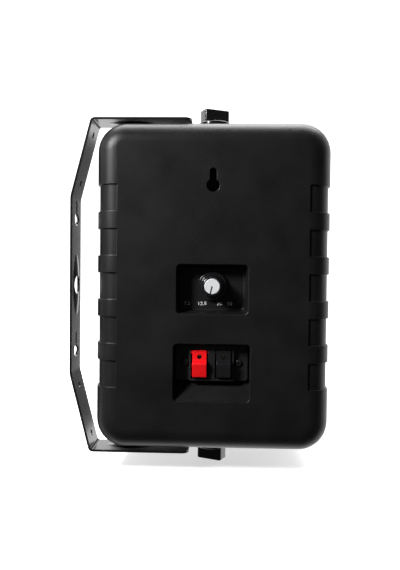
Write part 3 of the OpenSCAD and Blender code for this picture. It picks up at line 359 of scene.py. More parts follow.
def mouldedFinish(name, look):
    colour, mottle = look["colour"], look["mottle"]
    made = Finish(name, colour, look["rough"], look.get("metallic", 0.0), look["specular"])
    fine = made.grain(look["grain"], 3.0, 0.6)
    pits = made.cells(look["grain"] * 0.7, "SMOOTH_F1")
    broad = made.grain(26, 2.0)
    shade = made.step(fine * 0.45 + broad * 0.55, 0.3, 0.7)
    made.set("Base Color", made.blend(shade, tinted(colour, 1 - mottle), tinted(colour, 1 + mottle)))
    made.set("Roughness", (fine - 0.5) * 0.16 + (broad - 0.5) * 0.12 + look["rough"])
    made.relief(fine * 0.6 + pits * 0.5, look["bump"], look["height"])
    return made.material


# Bare metals. The streaks that drawing or turning left are given by their width in mm
metals = {
    "zinc": {"colour": (0.62, 0.63, 0.65), "rough": 0.34, "streak": 1.5},
    "brass": {"colour": (0.72, 0.50, 0.20), "rough": 0.32, "streak": 1.2},
    "basket_steel": {"colour": (0.055, 0.057, 0.062), "rough": 0.42, "streak": 2.5},
}


def metalFinish(name, look):
    made = Finish(name, look["colour"], look["rough"], 1.0)
    lines = made.grain(look["streak"], 3.0, 0.6, made.about((0, 0, 0), stretch=(0.12, 1, 1)))
    spangle = made.cells(5, "F1")
    made.set("Base Color", made.blend(made.step(spangle * 0.5 + lines * 0.5, 0.2, 0.8),
                                      tinted(look["colour"], 0.78), tinted(look["colour"], 1.12)))
    made.set("Roughness", (lines - 0.5) * 0.3 + look["rough"])
    made.relief(lines, 0.12, 0.05)
    return made.material


def layered(name, colour, second, rough, pitch, axis, metallic=0.0, bump=0.3):
    # stacked sheets or turns of wire: dark joints every pitch mm along an axis
    made = Finish(name, colour, rough, metallic)
    run = made.axes()[axis]
    wave = (run * (2 * math.pi / (pitch * mm))).maths("SINE") * 0.5 + 0.5
    blotch = made.grain(4, 3.0)
    made.set("Base Color", made.blend(wave * 0.8 + blotch * 0.2, second, colour))
    made.set("Roughness", blotch * 0.2 + (rough - 0.1))
    made.relief(wave, bump, 0.12)
    return made.material


def clothFinish(name, colour, second, pitch):
    made = Finish(name, colour, 0.85, specular=0.25)
    x, _, z = made.axes()
    turn = 2 * math.pi / (pitch * mm)
    weave = abs((x * turn).maths("SINE")) * 0.5 + abs((z * turn).maths("SINE")) * 0.5
    fibre = made.grain(0.6, 4.0)
    made.set("Base Color", made.blend(weave * 0.7 + fibre * 0.3, second, colour))
    made.set("Roughness", fibre * 0.15 + 0.78)
    made.relief(weave + fibre * 0.3, 0.5, 0.15)
    return made.material


def pulpFinish(name, colour):
    # pressed paper: fibres in every direction
    made = Finish(name, colour, 0.8, specular=0.3)
    fibre = made.grain(0.8, 5.0, 0.7, made.about((0, 0, 0), (0.4, 0.3, 0.7), (0.25, 1, 1)))
    second = made.grain(0.7, 5.0, 0.7, made.about((0, 0, 0), (0.2, 0.9, 0.1), (1, 1, 0.3)))
    mix = fibre * 0.5 + second * 0.5
    made.set("Base Color", made.blend(made.step(mix, 0.35, 0.7), tinted(colour, 0.6), tinted(colour, 1.7)))
    made.set("Roughness", mix * 0.2 + 0.7)
    made.relief(mix, 0.5, 0.12)
    return made.material


def capFinish():
    # spun disc: rings about the knob's axis
    made = Finish("silver_cap", (0.80, 0.81, 0.83), 0.38, 0.25, 0.5)
    x, _, z = made.axes(made.about((midX, 0, 0.5)))
    reach = (x * x + z * z) ** 0.5
    rings = (reach * (2 * math.pi / (0.35 * mm))).maths("SINE") * 0.5 + 0.5
    fine = made.grain(0.5, 3.0)
    made.set("Base Color", made.blend(rings * 0.6 + fine * 0.4, (0.72, 0.73, 0.75), (0.86, 0.87, 0.88)))
    made.set("Roughness", rings * 0.1 + fine * 0.1 + 0.3)
    made.relief(rings, 0.15, 0.02)
    return made.material


def boardFinish():
    made = Finish("board_green", (0.02, 0.13, 0.05), 0.35, specular=0.5)
    z = made.axes()[2]
    track = abs((z * (2 * math.pi / (5.2 * mm))).maths("SINE")) > 0.86
    blotch = made.grain(3, 2.0)
    made.set("Base Color", made.blend(track * 0.7 + blotch * 0.2, (0.012, 0.10, 0.035), (0.05, 0.22, 0.09)))
    made.set("Roughness", blotch * 0.2 + 0.25)
    made.relief(track, 0.3, 0.05)
    return made.material


def printFinish():
    made = Finish("label_ink", (0.78, 0.78, 0.77), 0.6)
    worn = made.grain(0.5, 4.0)
    made.set("Base Color", made.blend(made.step(worn, 0.35, 0.6), (0.45, 0.45, 0.45), (0.85, 0.85, 0.84)))
    made.set("Roughness", worn * 0.2 + 0.5)
    return made.material


def pointerFinish():
    made = Finish("pointer_ink", (0.02, 0.02, 0.022), 0.6)
    made.set("Roughness", made.grain(0.5, 3.0) * 0.2 + 0.5)
    return made.material


finishes = {name: mouldedFinish(name, look) for name, look in moulded.items()}
finishes.update({name: metalFinish(name, look) for name, look in metals.items()})
finishes["silver_cap"] = capFinish()
finishes["spider_cloth"] = clothFinish("spider_cloth", (0.56, 0.42, 0.18), (0.36, 0.25, 0.10), 0.9)
finishes["cone_paper"] = pulpFinish("cone_paper", (0.022, 0.022, 0.024))
finishes["coil_former"] = layered("coil_former", (0.55, 0.36, 0.13), (0.44, 0.28, 0.10), 0.35, 2.2, 1)
finishes["winding_tape"] = layered("winding_tape", (0.62, 0.42, 0.06), (0.42, 0.28, 0.04), 0.4, 3.4, 1)
finishes["capacitor_red"] = layered("capacitor_red", (0.30, 0.035, 0.025), (0.20, 0.02, 0.016), 0.35, 11, 2,
                                    bump=0.1)
finishes["board_green"] = boardFinish()
finishes["core_steel"] = layered("core_steel", (0.26, 0.27, 0.29), (0.12, 0.125, 0.13), 0.45, 0.9, 2, 1.0)
finishes["copper_wire"] = layered("copper_wire", (0.66, 0.26, 0.09), (0.34, 0.11, 0.04), 0.3, 0.7, 1, 1.0)
finishes["label_ink"] = printFinish()
finishes["pointer_ink"] = pointerFinish()
print("finishes:", len(finishes))

for piece in frame["nodes"].values():
    given = piece.data.materials[0].name.split(".")[0]
    piece.data.materials.clear()
    piece.data.materials.append(finishes[given])


# Rear shell

shellShape = {
    "fluteCount": 5, "fluteHeight": 16.9, "flutePitch": 28, "fluteDepth": 1.2, "fluteReach": 14.4,
    "fluteEnd": 8, "fluteEdge": 0.45, "cornerSteps": 12, "roundSteps": 10, "rimEdge": 0.5, "trayWall": 2,
    "floorEdge": 0.8, "bossR": 4.2, "bossLength": 30, "bossBore": 1.4, "ribT": 2.4,
    "cornerBoss": (62.01, 92.01), "sideBoss": (64.5, 14), "insertR": 4.5, "insertLength": 13,
    "insertBossR": 8, "standOffR": 4, "standOffH": 4, "ribStart": 4.5, "ribReach": 9, "postSink": 1.5,
    "standOffs": ((-54.5, 36), (-13.5, 36), (-46, -34), (-46, -78)),
}
recesses = {
    "selector": {"width": 45.2, "height": 31.3, "depth": 10, "z": -1.5, "draft": 2, "corner": 2.5},
    "terminal": {"width": 48.5, "height": 36.2, "depth": 14, "z": -54.3, "draft": 0, "corner": 2.5,
                 "rampStart": 12, "lip": 1.5},
}
hanger = {"z": 63.8, "headR": 4, "slotR": 2, "rise": 8.8, "room": 2, "depth": 7, "wall": 1.6}
switchBore = {"z": 0.5, "radius": 5}
terminalBores = {"z": -49.5, "screwX": 17.2, "screwR": 1.3, "tabX": 7.7, "tabW": 3, "tabH": 6}


def roundedForm(name, inset, extra):
    # the cabinet's outer form, or its surface moved in by inset, with its open end on the parting line
    c = cabinet
    halfW, halfH = c["width"] / 2 - inset, c["height"] / 2 - inset
    form = box(name, (midX - halfW, c["partingY"] - extra, -halfH),
               (midX + halfW, c["backY"] - inset, halfH))
    edit(form, "EDGE")
    pick(form, "EDGE", lambda e: along(e, 1))
    roundEdges(c["cornerR"] - inset, shellShape["cornerSteps"])
    back = c["backY"] - inset
    pick(form, "EDGE", lambda e: all(abs(v.co.y / mm - back) < 0.01 for v in e.verts))
    roundEdges(c["rearRound"] - inset, shellShape["roundSteps"])
    calm()
    return form


def fluteBands():
    s = shellShape
    half = s["fluteHeight"] / 2
    for i in range(s["fluteCount"]):
        centre = (i - (s["fluteCount"] - 1) / 2) * s["flutePitch"]
        yield centre - half, centre + half


def cutFlutes(shell):
    s, c = shellShape, cabinet
    edit(shell, "FACE")
    reachX = c["width"] / 2 - s["fluteReach"]
    stopY = c["partingY"] + s["fluteEnd"]
    cuts = [((0, 0, z), (0, 0, 1)) for band in fluteBands() for z in band]
    cuts += [((midX + side * reachX, 0, 0), (1, 0, 0)) for side in (-1, 1)] + [((0, stopY, 0), (0, 1, 0))]
    for point, normal in cuts:
        bpy.ops.mesh.select_all(action="SELECT")
        bpy.ops.mesh.bisect(plane_co=Vector(point) * mm, plane_no=normal)

    def inFlute(face, low, high, side):
        m = middle(face)
        beside = m.y > stopY and (m.x - midX) * side > reachX
        return beside and abs(face.normal.z) < 0.9 and low < m.z < high

    for low, high in fluteBands():
        for side in (-1, 1):
            pick(shell, "FACE", lambda f: inFlute(f, low, high, side))
            bpy.ops.mesh.extrude_region_shrink_fatten(
                TRANSFORM_OT_shrink_fatten={"value": -s["fluteDepth"] * mm})
    calm()
    return soften(shell, s["fluteEdge"], 2, 30)


def recessForm(name, spec, grow):
    # a recess as a solid, or the tray round it when it is grown
    back = cabinet["backY"]
    halfW, halfH = spec["width"] / 2 + grow, spec["height"] / 2 + grow
    low, floorY, mouthY = spec["z"] - halfH, back - spec["depth"] - grow, back - (1 if grow else 0)
    form = box(name, (midX - halfW, floorY, low), (midX + halfW, mouthY, spec["z"] + halfH))
    edit(form, "FACE")
    if spec["draft"]:
        pick(form, "FACE", lambda f: f.normal.y < -0.9)
        bpy.ops.transform.resize(value=(1 - spec["draft"] / halfW, 1, 1 - spec["draft"] / halfH),
                                 center_override=Vector((midX, floorY, spec["z"])) * mm)
    if "rampStart" in spec:
        bpy.ops.mesh.select_all(action="SELECT")
        bpy.ops.mesh.bisect(plane_co=(0, 0, (low + spec["rampStart"]) * mm), plane_no=(0, 0, 1))
        pick(form, "VERT", lambda v: v.co.y < (floorY + 0.1) * mm and v.co.z < (low + 0.1) * mm)
        bpy.ops.transform.translate(value=(0, (spec["depth"] - spec["lip"]) * mm, 0))
    pick(form, "EDGE", lambda e: abs((e.verts[1].co - e.verts[0].co).normalized().y) > 0.9
         and abs(abs(middle(e).z - spec["z"]) - halfH) < 1.5)
    roundEdges(spec["corner"], 6)
    if not grow:
        pick(form, "EDGE", lambda e: middle(e).y < floorY + 0.01 and e.calc_face_angle(0) > 0.9)
        roundEdges(shellShape["floorEdge"], 3)
        pick(form, "FACE", lambda f: f.normal.y > 0.9)
        raiseFace(1.0)
    calm()
    return form


def bossRods():
    s = shellShape
    places = [(x * s["cornerBoss"][0], z * s["cornerBoss"][1]) for x in (-1, 1) for z in (-1, 1)]
    places += [(x * s["sideBoss"][0], s["sideBoss"][1]) for x in (-1, 1)]
    return places


def innerPosts():
    # screw bosses with their ribs, stand-offs and the bosses of the two inserts
    s, c = shellShape, cabinet
    parts = []
    middleY = c["partingY"] + s["bossLength"] / 2
    for x, z in bossRods():
        parts.append(rod("boss", (midX + x, middleY, z), s["bossR"], s["bossLength"], alongY, 28))
        outwards = math.degrees(math.atan2(z, x)) if abs(z) > 50 else (0 if x > 0 else 180)
        rib = box("rib", (midX + x, c["partingY"] + s["ribStart"], z - s["ribT"] / 2),
                  (midX + x + s["ribReach"], c["partingY"] + s["bossLength"], z + s["ribT"] / 2))
        parts.append(moved(rib, turn=-outwards, axis="Y", about=(midX + x, 0, z)))
    for x, z in s["standOffs"]:
        length = s["postSink"] + s["standOffH"]
        centre = (midX + x, c["backY"] - s["postSink"] - length / 2, z)
        parts.append(rod("standOff", centre, s["standOffR"], length, alongY, 28))
    for side in (-1, 1):
        length = s["insertLength"] + c["wall"] - s["postSink"]
        centre = side * (c["height"] / 2 - s["postSink"] - length / 2)
        parts.append(rod("insertBoss", (midX, c["axisY"], centre), s["insertBossR"], length, sides=40))
    return parts


def hangerForm(grow):
    h, back = hanger, cabinet["backY"] - cabinet["wall"]
    half = h["headR"] + h["room"] + grow
    top = h["z"] + h["rise"] + h["slotR"] + h["room"] + grow
    return box("hangerBox", (midX - half, back - h["depth"] - grow, h["z"] - half),
               (midX + half, back + (2 if grow else 0.5), top))


def boreRods():
    s, h, t, c = shellShape, hanger, terminalBores, cabinet
    back = c["backY"]
    rods = [rod("head", (midX, back, h["z"]), h["headR"], 8, alongY, 40),
            rod("slotEnd", (midX, back, h["z"] + h["rise"]), h["slotR"], 8, alongY, 28),
            box("slot", (midX - h["slotR"], back - 4, h["z"]),
                (midX + h["slotR"], back + 4, h["z"] + h["rise"])),
            rod("switchBore", (midX, back - 11, switchBore["z"]), switchBore["radius"], 8, alongY, 32)]
    for side in (-1, 1):
        screwAt = (midX + side * t["screwX"], back - 15, t["z"])
        rods.append(rod("screwBore", screwAt, t["screwR"], 8, alongY, 20))
        tabX, halfTab = midX + side * t["tabX"], t["tabW"] / 2
        rods.append(box("tabSlot", (tabX - halfTab, back - 19, t["z"] - t["tabH"] / 2),
                        (tabX + halfTab, back - 11, t["z"] + t["tabH"] / 2)))
        top = c["height"] / 2
        rods.append(rod("insertBore", (midX, c["axisY"], side * (top - s["insertLength"] / 2 + 1)),
                        s["insertR"], s["insertLength"] + 2, sides=40))
    for x, z in bossRods():
        rods.append(rod("bossBore", (midX + x, c["partingY"] + 6, z), s["bossBore"], 16, alongY, 16))
    return rods


def rearShell():
    c = cabinet
    shell = cutFlutes(roundedForm("rearShell", 0, 0))
    combine(shell, roundedForm("inside", c["wall"], 6), "DIFFERENCE")
    trays = [recessForm("tray", spec, shellShape["trayWall"]) for spec in recesses.values()]
    combine(shell, together("inner", trays + [hangerForm(hanger["wall"])] + innerPosts()), "UNION", True)
    pockets = [recessForm("pocket", spec, 0) for spec in recesses.values()]
    combine(shell, together("pockets", pockets + [hangerForm(0)]), "DIFFERENCE")
    combine(shell, together("bores", boreRods()), "DIFFERENCE", True)
    edit(shell, "EDGE")
    pick(shell, "EDGE", lambda e: all(abs(v.co.y / mm - c["backY"]) < 0.002 for v in e.verts)
         and abs(middle(e).x - midX) < 30 and e.calc_face_angle(0) > 0.5)
    roundEdges(shellShape["rimEdge"], 3)
    calm()
    return smooth(shell)


shell = dressed(rearShell(), "shell_plastic", "cabinet", ("rear_shell",))
print("rear shell:", len(shell.data.polygons), "faces")


# Bracket

bracketShape = {
    "width": 24, "sheet": 1.5, "straight": 116, "armTop": 109, "lean": 13.2, "foldR": 18, "cornerR": 3.4,
    "armEnd": -78.4251, "endR": 5, "eyeR": 9.5, "brace": 20, "edge": 0.22, "domeHigh": 1.2,
    "spineDome": (42, 16), "armDome": (31, 14), "armDomeX": -38, "cableR": 6.5, "keyholeZ": 44,
    "headR": 4.6, "slotR": 1.7, "slotUp": 12.4, "slotSide": 7, "holeR": 2.2, "holeZ": (68, 100),
    "studR": 3.3,
}


def bracketSheet():
    # the wall face of the strip, folded from a plane, with its lower half mirrored
    b = bracketShape
    slope = math.atan2(b["lean"], b["armTop"] - b["straight"] / 2)
    turn = math.pi / 2 - slope
    foldRun, cornerRun = b["foldR"] * math.tan(slope / 2), b["cornerR"] * math.tan(turn / 2)
    foldZ = b["straight"] / 2 - foldRun
    calm()
    bpy.ops.mesh.primitive_plane_add(size=1, location=(0, 0, foldZ / 2 * mm), rotation=(0, math.pi / 2, 0))
    bpy.context.object.scale = (foldZ * mm, b["width"] * mm, 1)
    sheet = added("bracket")
    edit(sheet, "EDGE")
    pick(sheet, "EDGE", lambda e: middle(e).z > foldZ - 0.01)
    bpy.ops.mesh.spin(steps=6, angle=slope, center=(-b["foldR"] * mm, 0, foldZ * mm), axis=(0, 1, 0))
    run = math.hypot(b["lean"], b["armTop"] - b["straight"] / 2) - foldRun - cornerRun
    bpy.ops.mesh.extrude_region_move(TRANSFORM_OT_translate={
        "value": (-math.sin(slope) * run * mm, 0, math.cos(slope) * run * mm)})
    ends = [v.co for v in bmesh.from_edit_mesh(sheet.data).verts if v.select]
    centre = ends[0] + Vector((-math.cos(slope), 0, -math.sin(slope))) * b["cornerR"] * mm
    bpy.ops.mesh.spin(steps=9, angle=turn, center=(centre.x, 0, centre.z), axis=(0, 1, 0))
    reached = max(v.co.z for v in bmesh.from_edit_mesh(sheet.data).verts)
    ends = [v.co.x for v in bmesh.from_edit_mesh(sheet.data).verts if abs(v.co.z - reached) < 1e-7]
    bpy.ops.mesh.extrude_region_move(TRANSFORM_OT_translate={"value": (b["armEnd"] * mm - min(ends), 0, 0)})
    calm()
    finish(sheet, "MIRROR", use_axis=(False, False, True))
    tidy(sheet)
    if sum(f.normal.x * f.area for f in sheet.data.polygons) < 0:
        sheet.data.flip_normals()
    return sheet


def domeForm(length, width, high):
    # a lens-shaped mound on z = 0, long in x, reaching a little below it so that it cuts in cleanly
    sink = 0.4
    sideR = (width ** 2 / 4 + high ** 2) / (2 * high)
    longR = (length ** 2 / 4 + high ** 2) / (2 * high)
    level = sideR - high - sink

    def reach(u):
        return sideR - longR + math.sqrt(longR ** 2 - u ** 2)

    endU = math.sqrt(longR ** 2 - (longR - high - sink) ** 2) * 0.9999
    calm()
    bpy.ops.mesh.primitive_grid_add(x_subdivisions=30, y_subdivisions=12, size=2)
    dome = added("dome")
    edit(dome)
    mesh = bmesh.from_edit_mesh(dome.data)
    for v in mesh.verts:
        u = endU * math.sin(v.co.x * math.pi / 2)
        across = v.co.y * math.sqrt(max(0, reach(u) ** 2 - level ** 2))
        v.co = Vector((u, across, math.sqrt(reach(u) ** 2 - across ** 2) - level - sink)) * mm
    bmesh.update_edit_mesh(dome.data)
    bpy.ops.mesh.select_all(action="SELECT")
    bpy.ops.mesh.remove_doubles(threshold=0.01 * mm)
    bpy.ops.mesh.select_all(action="SELECT")
    bpy.ops.mesh.region_to_loop()
    bpy.ops.mesh.edge_face_add()
    bpy.ops.mesh.select_all(action="SELECT")
    bpy.ops.mesh.normals_make_consistent(inside=False)
    calm()
    return dome


def armPlate():
    # the eye round the clamp and the brace that widens to it, on the top arm
    b = bracketShape
    x, y, top, low = midX, cabinet["axisY"], b["armTop"], b["armTop"] - b["sheet"]
    eye = rod("eye", (x, y, (top + low) / 2), b["eyeR"], b["sheet"], sides=72)
    edge = (x + b["eyeR"] * math.cos(math.radians(300)), y + b["eyeR"] * math.sin(math.radians(300)))
    near = -b["width"] / 2
    corners = {(0, 1): (x, y + b["eyeR"]), (1, 1): (b["armEnd"] + b["brace"], near + 1),
               (1, 0): (b["armEnd"] + b["brace"], near), (0, 0): edge}
    brace = box("brace", (0, 0, low), (1, 1, top))
    for (i, j), (cx, cy) in corners.items():
        edit(brace)
        pick(brace, "VERT", lambda v: abs(v.co.x / mm - i) < 0.1 and abs(v.co.y / mm - j) < 0.1)
        bpy.ops.transform.translate(value=((cx - i) * mm, (cy - j) * mm, 0))
        calm()
    tidy(brace)
    return combine(eye, brace, "UNION")


def bracketHoles():
    b = bracketShape
    slope = math.atan2(b["lean"], b["armTop"] - b["straight"] / 2)
    holes = [rod("cableHole", (-1, 0, 0), b["cableR"], 8, alongX, 48)]
    for z in (-b["keyholeZ"], b["keyholeZ"]):
        up, aside = b["slotUp"] - b["slotR"], b["slotSide"] - b["slotR"]
        holes.append(rod("head", (-1, 0, z), b["headR"], 8, alongX, 40))
        holes.append(box("slotUp", (-5, -b["slotR"], z), (3, b["slotR"], z + up)))
        holes.append(rod("upEnd", (-1, 0, z + up), b["slotR"], 8, alongX, 24))
        holes.append(box("slotAside", (-5, -aside, z - b["slotR"]), (3, 0, z + b["slotR"])))
        holes.append(rod("asideEnd", (-1, -aside, z), b["slotR"], 8, alongX, 24))
    for side in (-1, 1):
        for z in b["holeZ"]:
            x = -(z - b["straight"] / 2) * math.tan(slope)
            leaning = (0, math.pi / 2 - side * slope, 0)
            holes.append(rod("smallHole", (x, 0, side * z), b["holeR"], 7, leaning, 28))
        holes.append(rod("studHole", (midX, cabinet["axisY"], side * b["armTop"]), b["studR"], 6, sides=36))
    return holes


def bracketPiece():
    b = bracketShape
    strip = bracketSheet()
    finish(strip, "SOLIDIFY", thickness=b["sheet"] * mm, offset=-1, use_even_offset=True)
    edit(strip, "EDGE")
    pick(strip, "EDGE", lambda e: along(e, 2) and middle(e).x < b["armEnd"] + 0.01 and middle(e).y > 0)
    roundEdges(b["endR"], 8)
    calm()
    top = armPlate()
    bottom = moved(copied(top, "lowerEye"), flip=(1, 1, -1))
    combine(strip, together("eyes", [top, bottom]), "UNION")
    inside = b["armTop"] - b["sheet"]
    spine = moved(domeForm(*b["spineDome"], b["domeHigh"]), turn=-90, axis="Y", shift=(-b["sheet"], 0, 0))
    upper = domeForm(*b["armDome"], b["domeHigh"])
    moved(upper, turn=180, axis="X", shift=(b["armDomeX"], 0, inside))
    lower = moved(copied(upper, "lowerDome"), flip=(1, 1, -1))
    mounds = [spine, upper, lower]
    back = [(b["sheet"], 0, 0), (0, 0, b["sheet"]), (0, 0, -b["sheet"])]
    hollows = [moved(copied(m, "hollow"), shift=s) for m, s in zip(mounds, back)]
    combine(strip, together("mounds", mounds), "UNION")
    combine(strip, together("hollows", hollows), "DIFFERENCE")
    combine(strip, together("holes", bracketHoles()), "DIFFERENCE", True)
    edit(strip)
    bpy.ops.mesh.select_all(action="SELECT")
    bpy.ops.mesh.dissolve_limited(angle_limit=math.radians(0.3))
    calm()
    soften(strip, b["edge"], 2, 40)
    return smooth(strip)


bracket = dressed(bracketPiece(), "black_paint", "bracket", ("bracket",))
print("bracket:", len(bracket.data.polygons), "faces")


# Clamp knobs

clampShape = {
    "seat": 110, "flangeR": 10.85, "flangeH": 3, "flangeEdge": 1, "gripL": 18.3, "gripW": 10, "gripH": 8.7,
    "gripR": 1.6, "topEdge": 1.0, "foot": 0.55, "turn": 25, "studR": 3, "studIn": 7.7,
}


def clampKnob():
    k, y = clampShape, cabinet["axisY"]
    face = k["seat"] + k["flangeH"]
    flangeMid = (midX, y, k["seat"] + k["flangeH"] / 2)
    knob = rod("topClampKnob", flangeMid, k["flangeR"], k["flangeH"], sides=72)
    edit(knob, "EDGE")
    pick(knob, "EDGE", lambda e: all(v.co.z / mm > face - 0.01 for v in e.verts))
    roundEdges(k["flangeEdge"], 5)
    grip = box("grip", (midX - k["gripL"] / 2, y - k["gripW"] / 2, k["seat"] + 1),
               (midX + k["gripL"] / 2, y + k["gripW"] / 2, face + k["gripH"]))
    edit(grip, "EDGE")
    pick(grip, "EDGE", lambda e: along(e, 2))
    roundEdges(k["gripR"], 5)
    pick(grip, "EDGE", lambda e: all(v.co.z / mm > face + k["gripH"] - 0.01 for v in e.verts))
    roundEdges(k["topEdge"], 4)
    calm()
    moved(grip, turn=k["turn"], axis="Z", about=(midX, y, 0))
    combine(knob, grip, "UNION")
    boreMid = (midX, y, k["seat"] + k["studIn"] / 2 - 0.5)
    bore = rod("studBore", boreMid, k["studR"], k["studIn"] + 1, sides=32)
    combine(knob, bore, "DIFFERENCE")
    edit(knob, "EDGE")
    inside = k["flangeR"] - k["flangeEdge"] - 0.1
    pick(knob, "EDGE", lambda e: all(abs(v.co.z / mm - face) < 0.01 for v in e.verts)
         and e.calc_face_angle(0) > 0.5 and (middle(e) - Vector((midX, y, face))).length < inside)
    roundEdges(k["foot"], 3)
    calm()
    return smooth(knob)


topKnob = clampKnob()
bottomKnob = copied(topKnob, "bottomClampKnob")
moved(bottomKnob, turn=180, axis="X", about=(midX, cabinet["axisY"], 0))
dressed(topKnob, "knob_plastic", "top_clamp", ("top_clamp_knob",))
dressed(bottomKnob, "knob_plastic", "bottom_clamp", ("bottom_clamp_knob",))
print("clamp knobs:", len(topKnob.data.polygons), "faces each")


# Power selector

selectorShape = {
    "floorY": 13, "z": 0.5, "skirtR": 9.25, "skirtFoot": 0.6, "skirtTop": 3.0, "skirtEdge": 0.6,
    "barrelFootR": 7.45, "barrelTopR": 6.2, "barrelEdge": 0.8, "barrelFoot": 0.35, "top": 13.6,
    "capR": 4.85, "capSeat": 12.6, "capEdge": 0.3, "dishEdge": 0.5, "dishDepth": 0.08, "nutRoomR": 7.4,
    "nutRoomTop": 3.8, "shaftR": 3, "shaftTop": 10.6, "pointerW": 0.9, "pointerAngle": -14,
}
labels = {
    "size": 3.1, "thick": 0.06, "squeeze": 1.12,
    "words": (("7.5", 16.3, -11.0), ("12.5", 6.6, -11.0), ("20", -4.7, -11.0), ("30", -11.1, -11.0)),
}


def selectorKnob():
    s = selectorShape
    at = s["floorY"]
    half = (s["skirtTop"] - s["skirtFoot"]) / 2
    skirtMid = (midX, at + s["skirtFoot"] + half, s["z"])
    knob = rod("selectorKnob", skirtMid, s["skirtR"], 2 * half, alongY, 72)
    edit(knob, "FACE")
    pick(knob, "FACE", lambda f: f.normal.y > 0.9)
    bpy.ops.mesh.inset(thickness=(s["skirtR"] - s["barrelFootR"]) * mm)
    raiseFace(s["top"] - s["skirtTop"])
    taper = s["barrelTopR"] / s["barrelFootR"]
    centre = Vector((midX, at + s["top"], s["z"])) * mm
    bpy.ops.transform.resize(value=(taper, 1, taper), center_override=centre)
    bpy.ops.mesh.inset(thickness=(s["barrelTopR"] - s["capR"]) * mm)
    raiseFace(s["capSeat"] - s["top"])
    pick(knob, "FACE", lambda f: f.normal.y < -0.9 and middle(f).y < at + 1)
    bpy.ops.mesh.inset(thickness=(s["skirtR"] - s["nutRoomR"]) * mm)
    raiseFace(s["nutRoomTop"] - s["skirtFoot"])
    bpy.ops.mesh.inset(thickness=(s["nutRoomR"] - s["shaftR"]) * mm)
    raiseFace(s["shaftTop"] - s["nutRoomTop"])

    def ring(radius, height):
        def test(e):
            reach = math.hypot(middle(e).x - midX, middle(e).z - s["z"])
            near = abs(middle(e).y - at - height) < 0.01 and abs(reach - radius) < 0.03
            return near and e.calc_face_angle(0) > 0.3
        return test

    for radius, height, width, steps in ((s["skirtR"], s["skirtTop"], s["skirtEdge"], 4),
                                         (s["barrelFootR"], s["skirtTop"], s["barrelFoot"], 3),
                                         (s["barrelTopR"], s["top"], s["barrelEdge"], 5)):
        pick(knob, "EDGE", ring(radius, height))
        roundEdges(width, steps)
    calm()
    return smooth(knob)


def selectorCap():
    s = selectorShape
    top = s["floorY"] + s["top"] + s["capEdge"]
    seat = s["floorY"] + s["capSeat"]
    cap = rod("selectorCap", (midX, (top + seat) / 2, s["z"]), s["capR"] - 0.02, top - seat, alongY, 72)
    edit(cap, "EDGE")
    pick(cap, "EDGE", lambda e: all(v.co.y / mm > top - 0.01 for v in e.verts))
    roundEdges(s["capEdge"], 3)
    pick(cap, "FACE", lambda f: f.normal.y > 0.99)
    bpy.ops.mesh.inset(thickness=s["dishEdge"] * mm)
    raiseFace(-s["dishDepth"])
    calm()
    groove = box("groove", (midX - s["pointerW"] / 2, top - s["capEdge"], s["z"] - s["capR"] - 1),
                 (midX + s["pointerW"] / 2, top + 1, s["z"]))
    moved(groove, turn=s["pointerAngle"], axis="Y", about=(midX, 0, s["z"]))
    combine(cap, groove, "DIFFERENCE")
    return smooth(cap)


def selectorPointer():
    # the dark line laid into the cap's groove
    s = selectorShape
    low = s["floorY"] + s["top"]
    line = box("selectorPointer", (midX - s["pointerW"] / 2 + 0.02, low, s["z"] - s["capR"] + 0.1),
               (midX + s["pointerW"] / 2 - 0.02, low + s["capEdge"] * 0.6, s["z"] - 0.03))
    edit(line, "EDGE")
    pick(line, "EDGE", lambda e: middle(e).y > low + 0.1)
    roundEdges(0.06, 2)
    calm()
    return moved(line, turn=s["pointerAngle"], axis="Y", about=(midX, 0, s["z"]))


def dialLabel(word, x, z):
    calm()
    bpy.ops.object.text_add()
    text = bpy.context.object
    text.data.body = word
    text.data.size = labels["size"] * mm
    text.data.extrude = labels["thick"] / 2 * mm
    text.data.bevel_depth = 0.012 * mm
    text.data.align_x = "CENTER"
    text.data.align_y = "CENTER"
    wake(text)
    bpy.ops.object.convert(target="MESH")
    text = bpy.context.object
    text.scale = (labels["squeeze"], 1, 1)
    text.rotation_euler = (math.pi / 2, 0, math.pi)
    text.location = Vector((midX + x, selectorShape["floorY"] + labels["thick"] / 2, z)) * mm
    added("label_" + word.replace(".", "_"))
    return text


dressed(selectorKnob(), "knob_plastic", "selector", ("selector_knob",))
dressed(selectorCap(), "silver_cap", "selector", ("selector_cap",))
dressed(selectorPointer(), "knob_plastic", "selector", ink="pointer_ink")
for word, x, z in labels["words"]:
    dressed(dialLabel(word, x, z), "silver_cap", "cabinet", ink="label_ink")
print("power selector done")


# Push terminals

terminalShape = {
    "floorY": 9, "z": -54.3, "blockMid": 5.4, "blockHeight": 23, "earW": 46.5, "earD": 5, "earR": 2,
    "centreW": 28.8, "centreD": 8, "centreR": 1, "edge": 0.35, "rimEdge": 0.25, "chamberW": 11,
    "chamber": (-4.6, 14.2), "chamberFloor": 1, "tabW": 2.8, "tabH": 1.2, "screwX": 17.2, "screwR": 1.5,
    "pinRoomR": 1.25, "pinL": 12.9,
}
leverShape = {
    "x": 7.7, "width": 9.2, "back": 5, "bottom": -3.6, "lip": 10.5, "crest": 12.0, "crestY": 5.7,
    "ledgeY": 7.5, "face": 8.6, "top": 13.7, "hingeY": 12.2, "hingeZ": 6.6, "pinR": 1.2, "pinL": 12.8,
    "holeY": 9.5, "holeR": 1.5, "crestR": 1.1, "lipR": 0.8, "edge": 0.35, "funnel": 0.3,
}


